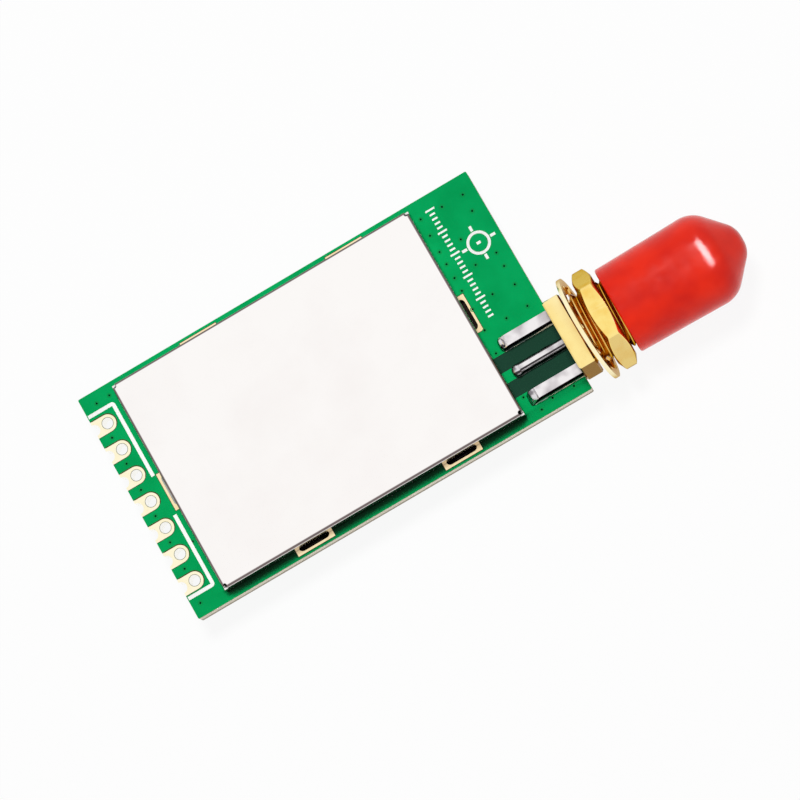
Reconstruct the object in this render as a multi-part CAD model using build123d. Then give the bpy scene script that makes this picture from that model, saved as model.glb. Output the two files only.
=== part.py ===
from build123d import *
import os
from math import cos, radians, sin, sqrt, tan

# Frame: the origin is on the underside of the board, on the axis of the middle edge contact.
# +X runs along the board to the aerial connector and +Z is the component side. Sizes are in mm.

# Circuit board, and the room that it leaves about the can
BOARD_WIDTH = 21.2
BOARD_THICKNESS = 1.6
BOARD_CORNER_RADIUS = 0.12
CONTACT_END_MARGIN = 3.22
CONNECTOR_END_MARGIN = 5.78
CAN_SIDE_MARGIN = 0.75

# Copper lands and plated holes
FOIL = 0.06
PLATING = 0.05
PLATING_SIDES = 8
MASK_GAP = 0.05

# Edge contacts: a row of plated holes, each with a half hole in the board's edge
CONTACT_COUNT = 7
CONTACT_PITCH = 2.54
CONTACT_INSET = 1.27
CONTACT_WIDTH = 1.55
CONTACT_HOLE_DIAMETER = 0.95
CASTELLATION_DIAMETER = 1.0

# Shield can, folded from sheet
CAN_LENGTH = 28.6
CAN_HEIGHT = 1.8
CAN_SHEET = 0.2
CAN_BEND_RADIUS = 0.32
CAN_SEAM = 0.04
RELIEF_DIAMETER = 0.36
RELIEF_DEPTH = 0.6
RELIEF_INSET = 0.24
TAB_WIDTH = 2.3
TAB_DEPTH = 1.2
TAB_CHAMFER = 0.3

# Plated slots that take the tabs of the can, and their lands
SLOT_LENGTH = 2.9
SLOT_WIDTH = 0.8
SLOT_LAND_LENGTH = 3.5
SLOT_LAND_WIDTH = 1.2
SIDE_SLOT_FIRST = 8.3
SIDE_SLOT_LAST = 6.2

# Aerial connector: square flange, threaded barrel and four legs that straddle the board
AXIS_SETBACK = 4.4
BARREL_DIAMETER = 6.35
BARREL_LENGTH = 11.0
BARREL_CHAMFER = 0.35
FLANGE_WIDTH = BARREL_DIAMETER
FLANGE_THICKNESS = 1.55
FLANGE_CHAMFER = 0.14
MOUTH_WALL = 0.85
MOUTH_DEPTH = 1.95
MOUTH_CHAMFER = 0.2
LEG_INSET = 0.635
LEG_WIDTH = 0.95
LEG_HEIGHT = 0.9
LEG_LENGTH = 4.7
LEG_BEVEL_LENGTH = 0.65
LEG_BEVEL_DROP = 0.4
LEG_BEVEL_SIDE = 0.18
SOLDER_FILM = 0.04

# Insulator and centre contact of the connector
INSULATOR_STEP = 0.275
CONTACT_BODY_DIAMETER = 1.27
SOCKET_DIAMETER = 0.94
SOCKET_DEPTH = 2.9
SOCKET_SLIT_WIDTH = 0.18
SOCKET_SLIT_DEPTH = 1.8
TAIL_DIAMETER = 0.8
TAIL_LENGTH = 4.8
TAIL_CHAMFER = 0.12

# Lands and solder under the connector
LEG_LAND_WIDTH = 1.3
LEG_LAND_LENGTH = 4.6
SIGNAL_LAND_WIDTH = 0.9
SIGNAL_LAND_LENGTH = 4.6
TRACE_WIDTH = 0.94
WINDOW_DEPTH = 0.035
SOLDER_END_MARGIN = 0.25
LEG_SOLDER_HEIGHT = 0.5
TAIL_SOLDER_HEIGHT = 0.34
SOLDER_SCOOP = 0.07

# Lock washer with twisted inner teeth, hanging askew on the barrel
WASHER_RING_WIDTH = 0.8
WASHER_THICKNESS = 0.34
WASHER_TILT = 6.0
WASHER_CLEARANCE = 0.05
TOOTH_COUNT = 10
TOOTH_LENGTH = 0.575
TOOTH_WIDTH = 1.2
TOOTH_ROOT_EMBED = 0.2
TOOTH_TWIST = 9.0
TOOTH_BORE_CLEARANCE = 0.15

# Hexagon nut, chamfered on both faces
NUT_SIDES = 6
NUT_WALL = 0.825
NUT_THICKNESS = 1.7
NUT_CHAMFER_ANGLE = 25.0
NUT_FACE_SHARE = 0.94
NUT_BORE_CLEARANCE = 0.025
NUT_CLEARANCE = 0.05

# Dust cap of soft vinyl
CAP_WALL = 0.62
CAP_FLARE = 0.16
CAP_BORE_CLEARANCE = 0.075
CAP_CLEARANCE = 0.4
CAP_END_ROOM = 1.0
CAP_SHOULDER_LENGTH = 0.58
CAP_NOSE_LENGTH = 2.69
CAP_TIP_RADIUS = 1.05
CAP_RIM_CHAMFER = 0.2
CAP_SHOULDER_ROUND = 2.5
CAP_TIP_ROUND = 2.1
CAP_CAVITY_CONE = 2.4
CAP_CAVITY_TIP_RADIUS = 0.8

# Chips under the can
TRANSCEIVER_SIDE = 4.0
TRANSCEIVER_HEIGHT = 0.85
TRANSCEIVER_TERMINAL_COUNT = 5
TRANSCEIVER_PITCH = 0.5
TERMINAL_LENGTH = 0.4
TERMINAL_WIDTH = 0.25
TERMINAL_PROUD = 0.04
MOULD_CHAMFER = 0.12
PACKAGE_STANDOFF = 0.1
LEAD_THICKNESS = 0.13
LEAD_FOOT = 0.35
CRYSTAL_LENGTH = 3.2
CRYSTAL_WIDTH = 2.5
CRYSTAL_BASE_HEIGHT = 0.45
CRYSTAL_LID_HEIGHT = 0.35
CRYSTAL_LID_MARGIN = 0.2
CHIP_END_PROUD = 0.02

# Leaded chips: length, width and height of the moulding, width and reach of a lead, the pitch,
# and how many leads each side has
MICROCONTROLLER_BODY = (5.0, 4.4, 1.0)
MICROCONTROLLER_LEAD = (0.24, 1.0)
MICROCONTROLLER_PITCH = 0.65
MICROCONTROLLER_LEAD_COUNTS = (7, 7)
RF_SWITCH_BODY = (2.0, 1.25, 0.9)
RF_SWITCH_LEAD = (0.22, 0.5)
RF_SWITCH_PITCH = 0.65
RF_SWITCH_LEAD_COUNTS = (3, 3)
REGULATOR_BODY = (2.9, 1.6, 1.1)
REGULATOR_LEAD = (0.4, 0.62)
REGULATOR_PITCH = 0.95
REGULATOR_LEAD_COUNTS = (3, 2)

# Two-terminal chips: length, width, height and the length of an end cap
CAPACITOR = (1.0, 0.5, 0.46, 0.25)
RESISTOR = (1.0, 0.5, 0.3, 0.2)
INDUCTOR = (1.6, 0.8, 0.76, 0.32)

# Places under the can, each an X, a Y and a turn. A positive X is measured from the can's contact
# end and a negative one back from its connector end. Y is measured in the same way from its sides.
TRANSCEIVER_PLACE = (-10.6, 5.5)
MICROCONTROLLER_PLACE = (7.6, 8.95, 90)
CRYSTAL_PLACE = (-16.0, 3.85, 90)
RF_SWITCH_PLACE = (-5.2, 3.75, 90)
REGULATOR_PLACE = (7.4, -2.85)
CAPACITOR_PLACES = [
    (2.2, 3.25, 90), (2.2, 6.25, 90), (3.8, -2.05, 0), (10.6, -2.45, 0), (12.6, -2.45, 0),
    (-14.4, -7.95, 0), (-12.2, -7.95, 0), (-7.7, 1.85, 0),
]
RESISTOR_PLACES = [(2.2, -7.65, 90), (2.2, -5.65, 90), (-14.4, -5.65, 0), (-12.2, -5.65, 0)]
INDUCTOR_PLACES = [(-7.7, 5.25, 90), (-7.7, -8.45, 90), (-5.7, 7.85, 0)]

# Derived sizes
BOARD_LENGTH = CONTACT_END_MARGIN + CAN_LENGTH + CONNECTOR_END_MARGIN
CAN_WIDTH = BOARD_WIDTH - 2 * CAN_SIDE_MARGIN
LEG_SPACING = FLANGE_WIDTH - 2 * LEG_INSET
MOUTH_DIAMETER = BARREL_DIAMETER - 2 * MOUTH_WALL
INSULATOR_DIAMETER = MOUTH_DIAMETER - 2 * INSULATOR_STEP
NUT_ACROSS_FLATS = BARREL_DIAMETER + 2 * NUT_WALL
NUT_FACE_RADIUS = NUT_ACROSS_FLATS / 2 * NUT_FACE_SHARE
TOOTH_TIP_RADIUS = BARREL_DIAMETER / 2 + TOOTH_BORE_CLEARANCE
WASHER_RING_RADIUS = TOOTH_TIP_RADIUS + TOOTH_LENGTH
CAP_BORE_RADIUS = BARREL_DIAMETER / 2 + CAP_BORE_CLEARANCE
CAP_MOUTH_RADIUS = CAP_BORE_RADIUS + CAP_WALL

# Derived planes and places
BOARD_START = -CONTACT_INSET
BOARD_END = BOARD_START + BOARD_LENGTH
BOARD_MIDDLE = (BOARD_START + BOARD_END) / 2
CAN_START = BOARD_START + CONTACT_END_MARGIN
CAN_END = CAN_START + CAN_LENGTH
CAN_MIDDLE = (CAN_START + CAN_END) / 2
AXIS_Y = AXIS_SETBACK - BOARD_WIDTH / 2
AXIS_Z = BOARD_THICKNESS + SOLDER_FILM + TAIL_DIAMETER / 2
FLANGE_FRONT = BOARD_END + FLANGE_THICKNESS
BARREL_END = FLANGE_FRONT + BARREL_LENGTH
REFERENCE_PLANE = BARREL_END - MOUTH_DEPTH
TOOTH_REACH = (TOOTH_WIDTH * sin(radians(TOOTH_TWIST)) + WASHER_THICKNESS * cos(radians(TOOTH_TWIST))) / 2
FLANGE_SWING = FLANGE_WIDTH / 2 * sin(radians(WASHER_TILT)) + TOOTH_REACH
NUT_SWING = NUT_FACE_RADIUS * sin(radians(WASHER_TILT)) + TOOTH_REACH
WASHER_X = FLANGE_FRONT + FLANGE_SWING + WASHER_CLEARANCE
NUT_START = WASHER_X + NUT_SWING + NUT_CLEARANCE
CAP_START = NUT_START + NUT_THICKNESS + CAP_CLEARANCE
CAP_CAVITY_LENGTH = BARREL_END - CAP_START + CAP_END_ROOM
CAP_BODY_LENGTH = CAP_CAVITY_LENGTH + CAP_SHOULDER_LENGTH


def slab(sketch, bottom, thickness):
    """A flat sketch raised to a height and given a thickness."""
    return Pos(0, 0, bottom) * extrude(sketch, thickness)


def along_axis(solid):
    """Turns a solid made about Z onto the connector's axis, with its Z along the module's X."""
    return Pos(0, AXIS_Y, AXIS_Z) * Rot(0, 90, 0) * solid


def contact_rows():
    """The Y of each edge contact, from the -Y side of the board to the +Y side."""
    middle = (CONTACT_COUNT - 1) / 2
    return [(row - middle) * CONTACT_PITCH for row in range(CONTACT_COUNT)]


def contact_outline(grow=0.0):
    """Bullet-shaped land: straight from the board's edge, and round about the hole."""
    half = CONTACT_WIDTH / 2 + grow
    return Pos(-CONTACT_INSET / 2, 0) * Rectangle(CONTACT_INSET, 2 * half) + Circle(half)


def contact_bores():
    """The round hole, and the half hole cut off at the board's edge."""
    notch = Circle(CASTELLATION_DIAMETER / 2)
    inboard = Pos(-CONTACT_INSET / 2, 0) * Rectangle(CONTACT_INSET, CONTACT_WIDTH)
    return Circle(CONTACT_HOLE_DIAMETER / 2) + (Pos(-CONTACT_INSET, 0) * notch & inboard)


def contact_sleeve():
    """The outside of the plating in both, flat-sided where the laminate hides it."""
    hole = RegularPolygon(CONTACT_HOLE_DIAMETER / 2 + PLATING, PLATING_SIDES, major_radius=False)
    depth = CASTELLATION_DIAMETER / 2 + PLATING
    return hole + Pos(depth / 2 - CONTACT_INSET, 0) * Rectangle(depth, 2 * depth)


def slot_sleeve():
    """The outside of the plating in a slot, square-ended where the laminate hides it."""
    return Rectangle(SLOT_LENGTH + 2 * PLATING, SLOT_WIDTH + 2 * PLATING)


def slot_outline(grow=0.0):
    """The rectangular land about a slot."""
    return Rectangle(SLOT_LAND_LENGTH + 2 * grow, SLOT_LAND_WIDTH + 2 * grow)


def plated_hole(outline, bore, sleeve):
    """Two lands, flush with the board's faces, joined by the plated wall of their hole."""
    lands = slab(outline, 0, FOIL) + slab(outline, BOARD_THICKNESS - FOIL, FOIL)
    walls = slab(sleeve, 0, BOARD_THICKNESS)
    return lands + walls - slab(bore, 0, BOARD_THICKNESS)


def plated_hole_room(pocket, sleeve):
    """What the board gives up for a plated hole."""
    pockets = slab(pocket, 0, FOIL) + slab(pocket, BOARD_THICKNESS - FOIL, FOIL)
    return pockets + slab(sleeve, 0, BOARD_THICKNESS)


def edge_contact(y):
    """One castellated edge contact."""
    return Pos(0, y, 0) * plated_hole(contact_outline(), contact_bores(), contact_sleeve())


def slot_places():
    """The places of the can's slots: two on each long side, one on each short side."""
    wall_y = (CAN_WIDTH - CAN_SHEET) / 2
    wall_x = (CAN_LENGTH - CAN_SHEET) / 2
    columns = (CAN_START + SIDE_SLOT_FIRST, CAN_END - SIDE_SLOT_LAST)
    sides = [Pos(x, side * wall_y, 0) for side in (-1, 1) for x in columns]
    ends = [Pos(CAN_MIDDLE + side * wall_x, 0, 0) * Rot(0, 0, 90) for side in (-1, 1)]
    return sides + ends


def can_land(place):
    """One plated slot with its lands."""
    return place * plated_hole(slot_outline(), SlotOverall(SLOT_LENGTH, SLOT_WIDTH), slot_sleeve())


def leg_land_sketches():
    """The two lands under the connector's ground legs, seen from above."""
    x = BOARD_END - LEG_LAND_LENGTH / 2
    land = Rectangle(LEG_LAND_LENGTH, LEG_LAND_WIDTH)
    return [Pos(x, AXIS_Y + side * LEG_SPACING / 2) * land for side in (-1, 1)]


def signal_land_sketch():
    """The land under the connector's centre tail, seen from above."""
    x = BOARD_END - SIGNAL_LAND_LENGTH / 2
    return Pos(x, AXIS_Y) * Rectangle(SIGNAL_LAND_LENGTH, SIGNAL_LAND_WIDTH)


def copper_window():
    """The area without copper about the signal land, less the trace that comes from the can."""
    length = BOARD_END - CAN_END
    width = LEG_SPACING - LEG_LAND_WIDTH
    trace = length - SIGNAL_LAND_LENGTH
    area = Pos(CAN_END + length / 2, AXIS_Y) * Rectangle(length, width)
    return area - Pos(CAN_END + trace / 2, AXIS_Y) * Rectangle(trace, TRACE_WIDTH)


def board():
    """The laminate with its mask, pocketed for every land and pierced for every plated hole."""
    outline = Pos(BOARD_MIDDLE, 0) * RectangleRounded(BOARD_LENGTH, BOARD_WIDTH, BOARD_CORNER_RADIUS)
    plate = slab(outline, 0, BOARD_THICKNESS)
    contact_room = plated_hole_room(contact_outline(MASK_GAP), contact_sleeve())
    for y in contact_rows():
        plate -= Pos(0, y, 0) * contact_room
    slot_room = plated_hole_room(slot_outline(MASK_GAP), slot_sleeve())
    for place in slot_places():
        plate -= place * slot_room
    for sketch in leg_land_sketches():
        plate -= slab(sketch, 0, FOIL) + slab(sketch, BOARD_THICKNESS - FOIL, FOIL)
    plate -= slab(copper_window(), BOARD_THICKNESS - WINDOW_DEPTH, WINDOW_DEPTH)
    plate -= slab(signal_land_sketch(), BOARD_THICKNESS - FOIL, FOIL)
    return plate


def ground_lands():
    """The four lands of the ground legs, two on each face of the board."""
    sketches = leg_land_sketches()
    heights = (0, BOARD_THICKNESS - FOIL)
    return Compound(children=[slab(sketch, z, FOIL) for sketch in sketches for z in heights])


def signal_land():
    """The land of the centre tail."""
    return slab(signal_land_sketch(), BOARD_THICKNESS - FOIL, FOIL)


def can_channel(span, run):
    """An inverted channel of sheet: span across its flat top and its two bends, run along them."""
    low = (Align.CENTER, Align.MIN)
    outside = Rectangle(span, CAN_HEIGHT, align=low)
    outside = fillet(outside.vertices().group_by(Axis.Y)[-1], CAN_BEND_RADIUS)
    inside = Rectangle(span - 2 * CAN_SHEET, CAN_HEIGHT - CAN_SHEET, align=low)
    inside = fillet(inside.vertices().group_by(Axis.Y)[-1], CAN_BEND_RADIUS - CAN_SHEET)
    return extrude(Plane.XZ * (outside - inside), run / 2, both=True)


def can_seams():
    """The lower walls, which close the corners: the long ones full length, the short ones between them."""
    low = (Align.CENTER, Align.CENTER, Align.MIN)
    height = CAN_HEIGHT - RELIEF_DEPTH
    long_wall = Box(CAN_LENGTH, CAN_SHEET, height, align=low)
    short_wall = Box(CAN_SHEET, CAN_WIDTH - 2 * (CAN_SHEET + CAN_SEAM), height, align=low)
    walls = []
    for side in (-1, 1):
        walls.append(Pos(0, side * (CAN_WIDTH - CAN_SHEET) / 2, 0) * long_wall)
        walls.append(Pos(side * (CAN_LENGTH - CAN_SHEET) / 2, 0, 0) * short_wall)
    return walls


def can_reliefs():
    """The round relief at each corner, where two bends would meet."""
    relief = Pos(0, 0, CAN_HEIGHT - RELIEF_DEPTH) * extrude(Circle(RELIEF_DIAMETER / 2), RELIEF_DEPTH)
    x = CAN_LENGTH / 2 - RELIEF_INSET
    y = CAN_WIDTH / 2 - RELIEF_INSET
    return [Pos(x_side * x, y_side * y, 0) * relief for x_side in (-1, 1) for y_side in (-1, 1)]


def shield_can():
    """The folded can: four bends that stop at corner reliefs, and tabs down into the slots."""
    can = can_channel(CAN_LENGTH, CAN_WIDTH - 2 * CAN_BEND_RADIUS)
    can += Rot(0, 0, 90) * can_channel(CAN_WIDTH, CAN_LENGTH - 2 * CAN_BEND_RADIUS)
    for wall in can_seams():
        can += wall
    for relief in can_reliefs():
        can -= relief
    can = Pos(CAN_MIDDLE, 0, BOARD_THICKNESS) * can
    tab = Box(TAB_WIDTH, CAN_SHEET, TAB_DEPTH, align=(Align.CENTER, Align.CENTER, Align.MAX))
    tab = chamfer(tab.faces().sort_by(Axis.Z)[0].edges().filter_by(Axis.Y), TAB_CHAMFER)
    for place in slot_places():
        can += place * Pos(0, 0, BOARD_THICKNESS) * tab
    return can


def leg():
    """One leg, a solder film above its land, with its tip bevelled on top and at both sides."""
    low = (Align.MAX, Align.CENTER, Align.MIN)
    bar = Box(LEG_LENGTH, LEG_WIDTH, LEG_HEIGHT, align=low)
    tip = bar.faces().sort_by(Axis.X)[0]
    bar = chamfer(tip.edges().sort_by(Axis.Z)[-1], LEG_BEVEL_DROP, LEG_BEVEL_LENGTH)
    tip = bar.faces().sort_by(Axis.X)[0]
    return Pos(0, 0, SOLDER_FILM) * chamfer(tip.edges().filter_by(Axis.Z), LEG_BEVEL_SIDE)


def leg_seats():
    """Where the four legs meet their lands: two on the board and two, turned over, under it."""
    rows = [AXIS_Y + side * LEG_SPACING / 2 for side in (-1, 1)]
    over = [Pos(BOARD_END, y, BOARD_THICKNESS) for y in rows]
    under = [Pos(BOARD_END, y, 0) * Rot(180, 0, 0) for y in rows]
    return over + under


def connector_body():
    """Flange, legs and barrel in one turned and milled piece, bored for the insulator."""
    flange = Box(FLANGE_WIDTH, FLANGE_WIDTH, FLANGE_THICKNESS, align=(Align.CENTER, Align.CENTER, Align.MIN))
    flange = chamfer(flange.edges(), FLANGE_CHAMFER)
    flange = Pos(0, 0, BOARD_END) * flange
    barrel = Pos(0, 0, FLANGE_FRONT) * extrude(Circle(BARREL_DIAMETER / 2), BARREL_LENGTH)
    barrel = chamfer(barrel.faces().sort_by(Axis.Z)[-1].edges(), BARREL_CHAMFER)
    body = flange + barrel
    body -= Pos(0, 0, BOARD_END) * extrude(Circle(INSULATOR_DIAMETER / 2), REFERENCE_PLANE - BOARD_END)
    body -= Pos(0, 0, REFERENCE_PLANE) * extrude(Circle(MOUTH_DIAMETER / 2), MOUTH_DEPTH)
    mouth = Pos(0, 0, BARREL_END - MOUTH_CHAMFER)
    body -= mouth * Cone(
        MOUTH_DIAMETER / 2, MOUTH_DIAMETER / 2 + MOUTH_CHAMFER, MOUTH_CHAMFER,
        align=(Align.CENTER, Align.CENTER, Align.MIN),
    )
    body = along_axis(body)
    for seat in leg_seats():
        body += seat * leg()
    return body


def insulator():
    """The insulator between the body and the centre contact."""
    ring = Circle(INSULATOR_DIAMETER / 2) - Circle(CONTACT_BODY_DIAMETER / 2)
    return along_axis(Pos(0, 0, BOARD_END) * extrude(ring, REFERENCE_PLANE - BOARD_END))


def centre_contact():
    """The centre contact: a slit socket in front and a round tail on the board behind."""
    length = REFERENCE_PLANE - BOARD_END
    pin = Pos(0, 0, BOARD_END) * extrude(Circle(CONTACT_BODY_DIAMETER / 2), length)
    pin -= Pos(0, 0, REFERENCE_PLANE - SOCKET_DEPTH) * extrude(Circle(SOCKET_DIAMETER / 2), SOCKET_DEPTH)
    slit = Box(
        CONTACT_BODY_DIAMETER, SOCKET_SLIT_WIDTH, SOCKET_SLIT_DEPTH,
        align=(Align.CENTER, Align.CENTER, Align.MAX),
    )
    for turn in (0, 90):
        pin -= Pos(0, 0, REFERENCE_PLANE) * Rot(0, 0, turn) * slit
    tail = extrude(Circle(TAIL_DIAMETER / 2), TAIL_LENGTH)
    tail = chamfer(tail.faces().sort_by(Axis.Z)[0].edges(), TAIL_CHAMFER)
    return along_axis(pin + Pos(0, 0, BOARD_END - TAIL_LENGTH) * tail)


def solder_bead(base_width, top_width, height, length):
    """A bead with hollow flanks, lying along -X from the board's end on the plane Z = 0."""
    base = base_width / 2
    top = top_width / 2
    dip = SOLDER_SCOOP / sqrt((base - top) ** 2 + height**2)
    hollow_y = (base + top) / 2 - height * dip
    hollow_z = height / 2 - (base - top) * dip
    edges = [
        Line((-base, 0), (base, 0)),
        ThreePointArc((base, 0), (hollow_y, hollow_z), (top, height)),
        Line((top, height), (-top, height)),
        ThreePointArc((-top, height), (-hollow_y, hollow_z), (-base, 0)),
    ]
    return Rot(0, 0, -90) * Rot(90, 0, 0) * extrude(make_face(edges), length)


def leg_solder():
    """The solder that holds each leg to its land."""
    length = LEG_LAND_LENGTH - SOLDER_END_MARGIN
    bead = solder_bead(LEG_LAND_WIDTH, LEG_WIDTH + 2 * SOLDER_FILM, LEG_SOLDER_HEIGHT, length)
    bead -= leg()
    return Compound(children=[seat * bead for seat in leg_seats()])


def tail_solder():
    """The solder that holds the centre tail to its land."""
    length = SIGNAL_LAND_LENGTH - SOLDER_END_MARGIN
    bead = solder_bead(SIGNAL_LAND_WIDTH, TAIL_DIAMETER, TAIL_SOLDER_HEIGHT, length)
    tail = along_axis(Pos(0, 0, BOARD_END - TAIL_LENGTH) * extrude(Circle(TAIL_DIAMETER / 2), TAIL_LENGTH))
    return Pos(BOARD_END, AXIS_Y, BOARD_THICKNESS) * bead - tail


def washer_tooth():
    """One inner tooth along +X, narrower at its tip and twisted out of the washer's plane."""
    tip = TOOTH_TIP_RADIUS
    root = WASHER_RING_RADIUS + TOOTH_ROOT_EMBED
    half_root = TOOTH_WIDTH / 2
    half_tip = half_root * tip / root
    outline = Polygon((tip, -half_tip), (root, -half_root), (root, half_root), (tip, half_tip), align=None)
    blade = Pos(0, 0, -WASHER_THICKNESS / 2) * extrude(outline, WASHER_THICKNESS)
    return Rot(TOOTH_TWIST, 0, 0) * blade


def lock_washer():
    """The ring and its teeth, tilted so that its top leans towards the flange."""
    ring = Circle(WASHER_RING_RADIUS + WASHER_RING_WIDTH) - Circle(WASHER_RING_RADIUS)
    washer = Pos(0, 0, -WASHER_THICKNESS / 2) * extrude(ring, WASHER_THICKNESS)
    for index in range(TOOTH_COUNT):
        washer += Rot(0, 0, 360 / TOOTH_COUNT * index) * washer_tooth()
    return Pos(WASHER_X, AXIS_Y, AXIS_Z) * Rot(0, 90 - WASHER_TILT, 0) * washer


def hex_nut():
    """The nut, with a flat facing up and its corners turned off at both faces."""
    corner = NUT_ACROSS_FLATS / 2 / cos(radians(180 / NUT_SIDES))
    face = NUT_FACE_RADIUS
    middle = NUT_THICKNESS / 2
    peak = face + middle / tan(radians(NUT_CHAMFER_ANGLE))
    prism = extrude(RegularPolygon(corner, NUT_SIDES, rotation=180 / NUT_SIDES), NUT_THICKNESS)
    turned = make_face(Polyline(
        (0, 0), (face, 0), (peak, middle), (face, NUT_THICKNESS), (0, NUT_THICKNESS), close=True,
    ))
    prism &= revolve(Plane.XZ * turned, Axis.Z)
    prism -= extrude(Circle(BARREL_DIAMETER / 2 + NUT_BORE_CLEARANCE), NUT_THICKNESS)
    return along_axis(Pos(0, 0, NUT_START) * prism)


def cap_outline():
    """Half section of the cap's outside, from its mouth along the axis to the tip."""
    shoulder = CAP_MOUTH_RADIUS + CAP_FLARE
    length = CAP_BODY_LENGTH + CAP_NOSE_LENGTH
    rim = [(CAP_MOUTH_RADIUS - CAP_RIM_CHAMFER, 0), (CAP_MOUTH_RADIUS, CAP_RIM_CHAMFER)]
    rounds = {(shoulder, CAP_BODY_LENGTH): CAP_SHOULDER_ROUND, (CAP_TIP_RADIUS, length): CAP_TIP_ROUND}
    half = make_face(Polyline((0, 0), *rim, *rounds, (0, length), close=True))
    for point, radius in rounds.items():
        half = fillet(half.vertices().sort_by_distance(Vertex(*point))[0], radius)
    return half


def dust_cap():
    """The cap: a slightly flared sleeve with a cone nose, hollow over the barrel."""
    outside = revolve(Plane.XZ * cap_outline(), Axis.Z)
    depth = CAP_CAVITY_LENGTH + CAP_CAVITY_CONE
    cavity = make_face(Polyline(
        (0, 0), (CAP_BORE_RADIUS, 0), (CAP_BORE_RADIUS, CAP_CAVITY_LENGTH), (CAP_CAVITY_TIP_RADIUS, depth),
        (0, depth), close=True,
    ))
    hollow = revolve(Plane.XZ * cavity, Axis.Z)
    return along_axis(Pos(0, 0, CAP_START) * (outside - hollow))


def moulded_body(length, width, height):
    """A moulded package body on Z = 0, chamfered above."""
    body = Box(length, width, height, align=(Align.CENTER, Align.CENTER, Align.MIN))
    return chamfer(body.faces().sort_by(Axis.Z)[-1].edges(), MOULD_CHAMFER)


def transceiver_chip():
    """The leadless transceiver chip, with a row of terminals under each edge."""
    chip = Pos(0, 0, TERMINAL_PROUD) * moulded_body(TRANSCEIVER_SIDE, TRANSCEIVER_SIDE, TRANSCEIVER_HEIGHT)
    terminal = Box(
        TERMINAL_LENGTH, TERMINAL_WIDTH, 2 * TERMINAL_PROUD, align=(Align.MAX, Align.CENTER, Align.MIN)
    )
    middle = (TRANSCEIVER_TERMINAL_COUNT - 1) / 2
    for turn in (0, 90, 180, 270):
        for index in range(TRANSCEIVER_TERMINAL_COUNT):
            y = (index - middle) * TRANSCEIVER_PITCH
            chip += Rot(0, 0, turn) * Pos(TRANSCEIVER_SIDE / 2 + TERMINAL_PROUD, y, 0) * terminal
    return chip


def gull_lead(rise, width, reach):
    """One bent lead that runs along +Y out of a package and down to its foot on Z = 0."""
    knee = (reach - LEAD_FOOT) / 2
    thick = LEAD_THICKNESS
    points = [
        (-knee, rise), (knee + thick, rise), (knee + thick, thick), (reach, thick),
        (reach, 0), (knee, 0), (knee, rise - thick), (-knee, rise - thick),
    ]
    profile = make_face(Polyline(*points, close=True))
    return Pos(width / 2, 0, 0) * Rot(0, 0, 90) * Rot(90, 0, 0) * extrude(profile, width)


def leaded_chip(body, lead, pitch, counts):
    """A moulded chip with a row of leads along each long side, the first row setting the span."""
    length, width, height = body
    chip = Pos(0, 0, PACKAGE_STANDOFF) * moulded_body(length, width, height)
    bent = Pos(0, width / 2, 0) * gull_lead(PACKAGE_STANDOFF + height / 2, *lead)
    span = pitch * (counts[0] - 1)
    for turn, count in zip((0, 180), counts):
        for index in range(count):
            x = span * index / (count - 1) - span / 2
            chip += Rot(0, 0, turn) * Pos(x, 0, 0) * bent
    return chip


def microcontroller():
    """The controller chip."""
    return leaded_chip(
        MICROCONTROLLER_BODY, MICROCONTROLLER_LEAD, MICROCONTROLLER_PITCH, MICROCONTROLLER_LEAD_COUNTS
    )


def rf_switch():
    """The small chip that switches the aerial between sending and receiving."""
    return leaded_chip(RF_SWITCH_BODY, RF_SWITCH_LEAD, RF_SWITCH_PITCH, RF_SWITCH_LEAD_COUNTS)


def voltage_regulator():
    """The regulator chip, with three leads on one side and two on the other."""
    return leaded_chip(REGULATOR_BODY, REGULATOR_LEAD, REGULATOR_PITCH, REGULATOR_LEAD_COUNTS)


def crystal_unit():
    """The crystal: a ceramic base with a smaller metal lid."""
    low = (Align.CENTER, Align.CENTER, Align.MIN)
    base = Box(CRYSTAL_LENGTH, CRYSTAL_WIDTH, CRYSTAL_BASE_HEIGHT, align=low)
    lid = Box(
        CRYSTAL_LENGTH - 2 * CRYSTAL_LID_MARGIN, CRYSTAL_WIDTH - 2 * CRYSTAL_LID_MARGIN, CRYSTAL_LID_HEIGHT,
        align=low,
    )
    return base + Pos(0, 0, CRYSTAL_BASE_HEIGHT) * lid


def chip_part(length, width, height, cap_length):
    """A two-terminal chip: its body, and end caps that stand a little proud of it."""
    low = (Align.CENTER, Align.CENTER, Align.MIN)
    proud = CHIP_END_PROUD
    body = Pos(0, 0, proud) * Box(length - 2 * proud, width, height, align=low)
    end = Box(cap_length, width + 2 * proud, height + 2 * proud, align=low)
    for side in (-1, 1):
        body += Pos(side * (length - cap_length) / 2, 0, 0) * end
    return body


def measured_in(distance, low, high):
    """A place at a distance above the lower bound, or below the upper one where it is negative."""
    return low + distance if distance > 0 else high + distance


def on_board(solid, x, y, turn=0):
    """Sets a part on the board's upper face, at a place measured from the can's walls."""
    x = measured_in(x, CAN_START, CAN_END)
    y = measured_in(y, -CAN_WIDTH / 2, CAN_WIDTH / 2)
    return Pos(x, y, BOARD_THICKNESS) * Rot(0, 0, turn) * solid


def group(solid, places):
    """Copies of one part at a list of places."""
    return Compound(children=[on_board(solid, *place) for place in places])


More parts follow.
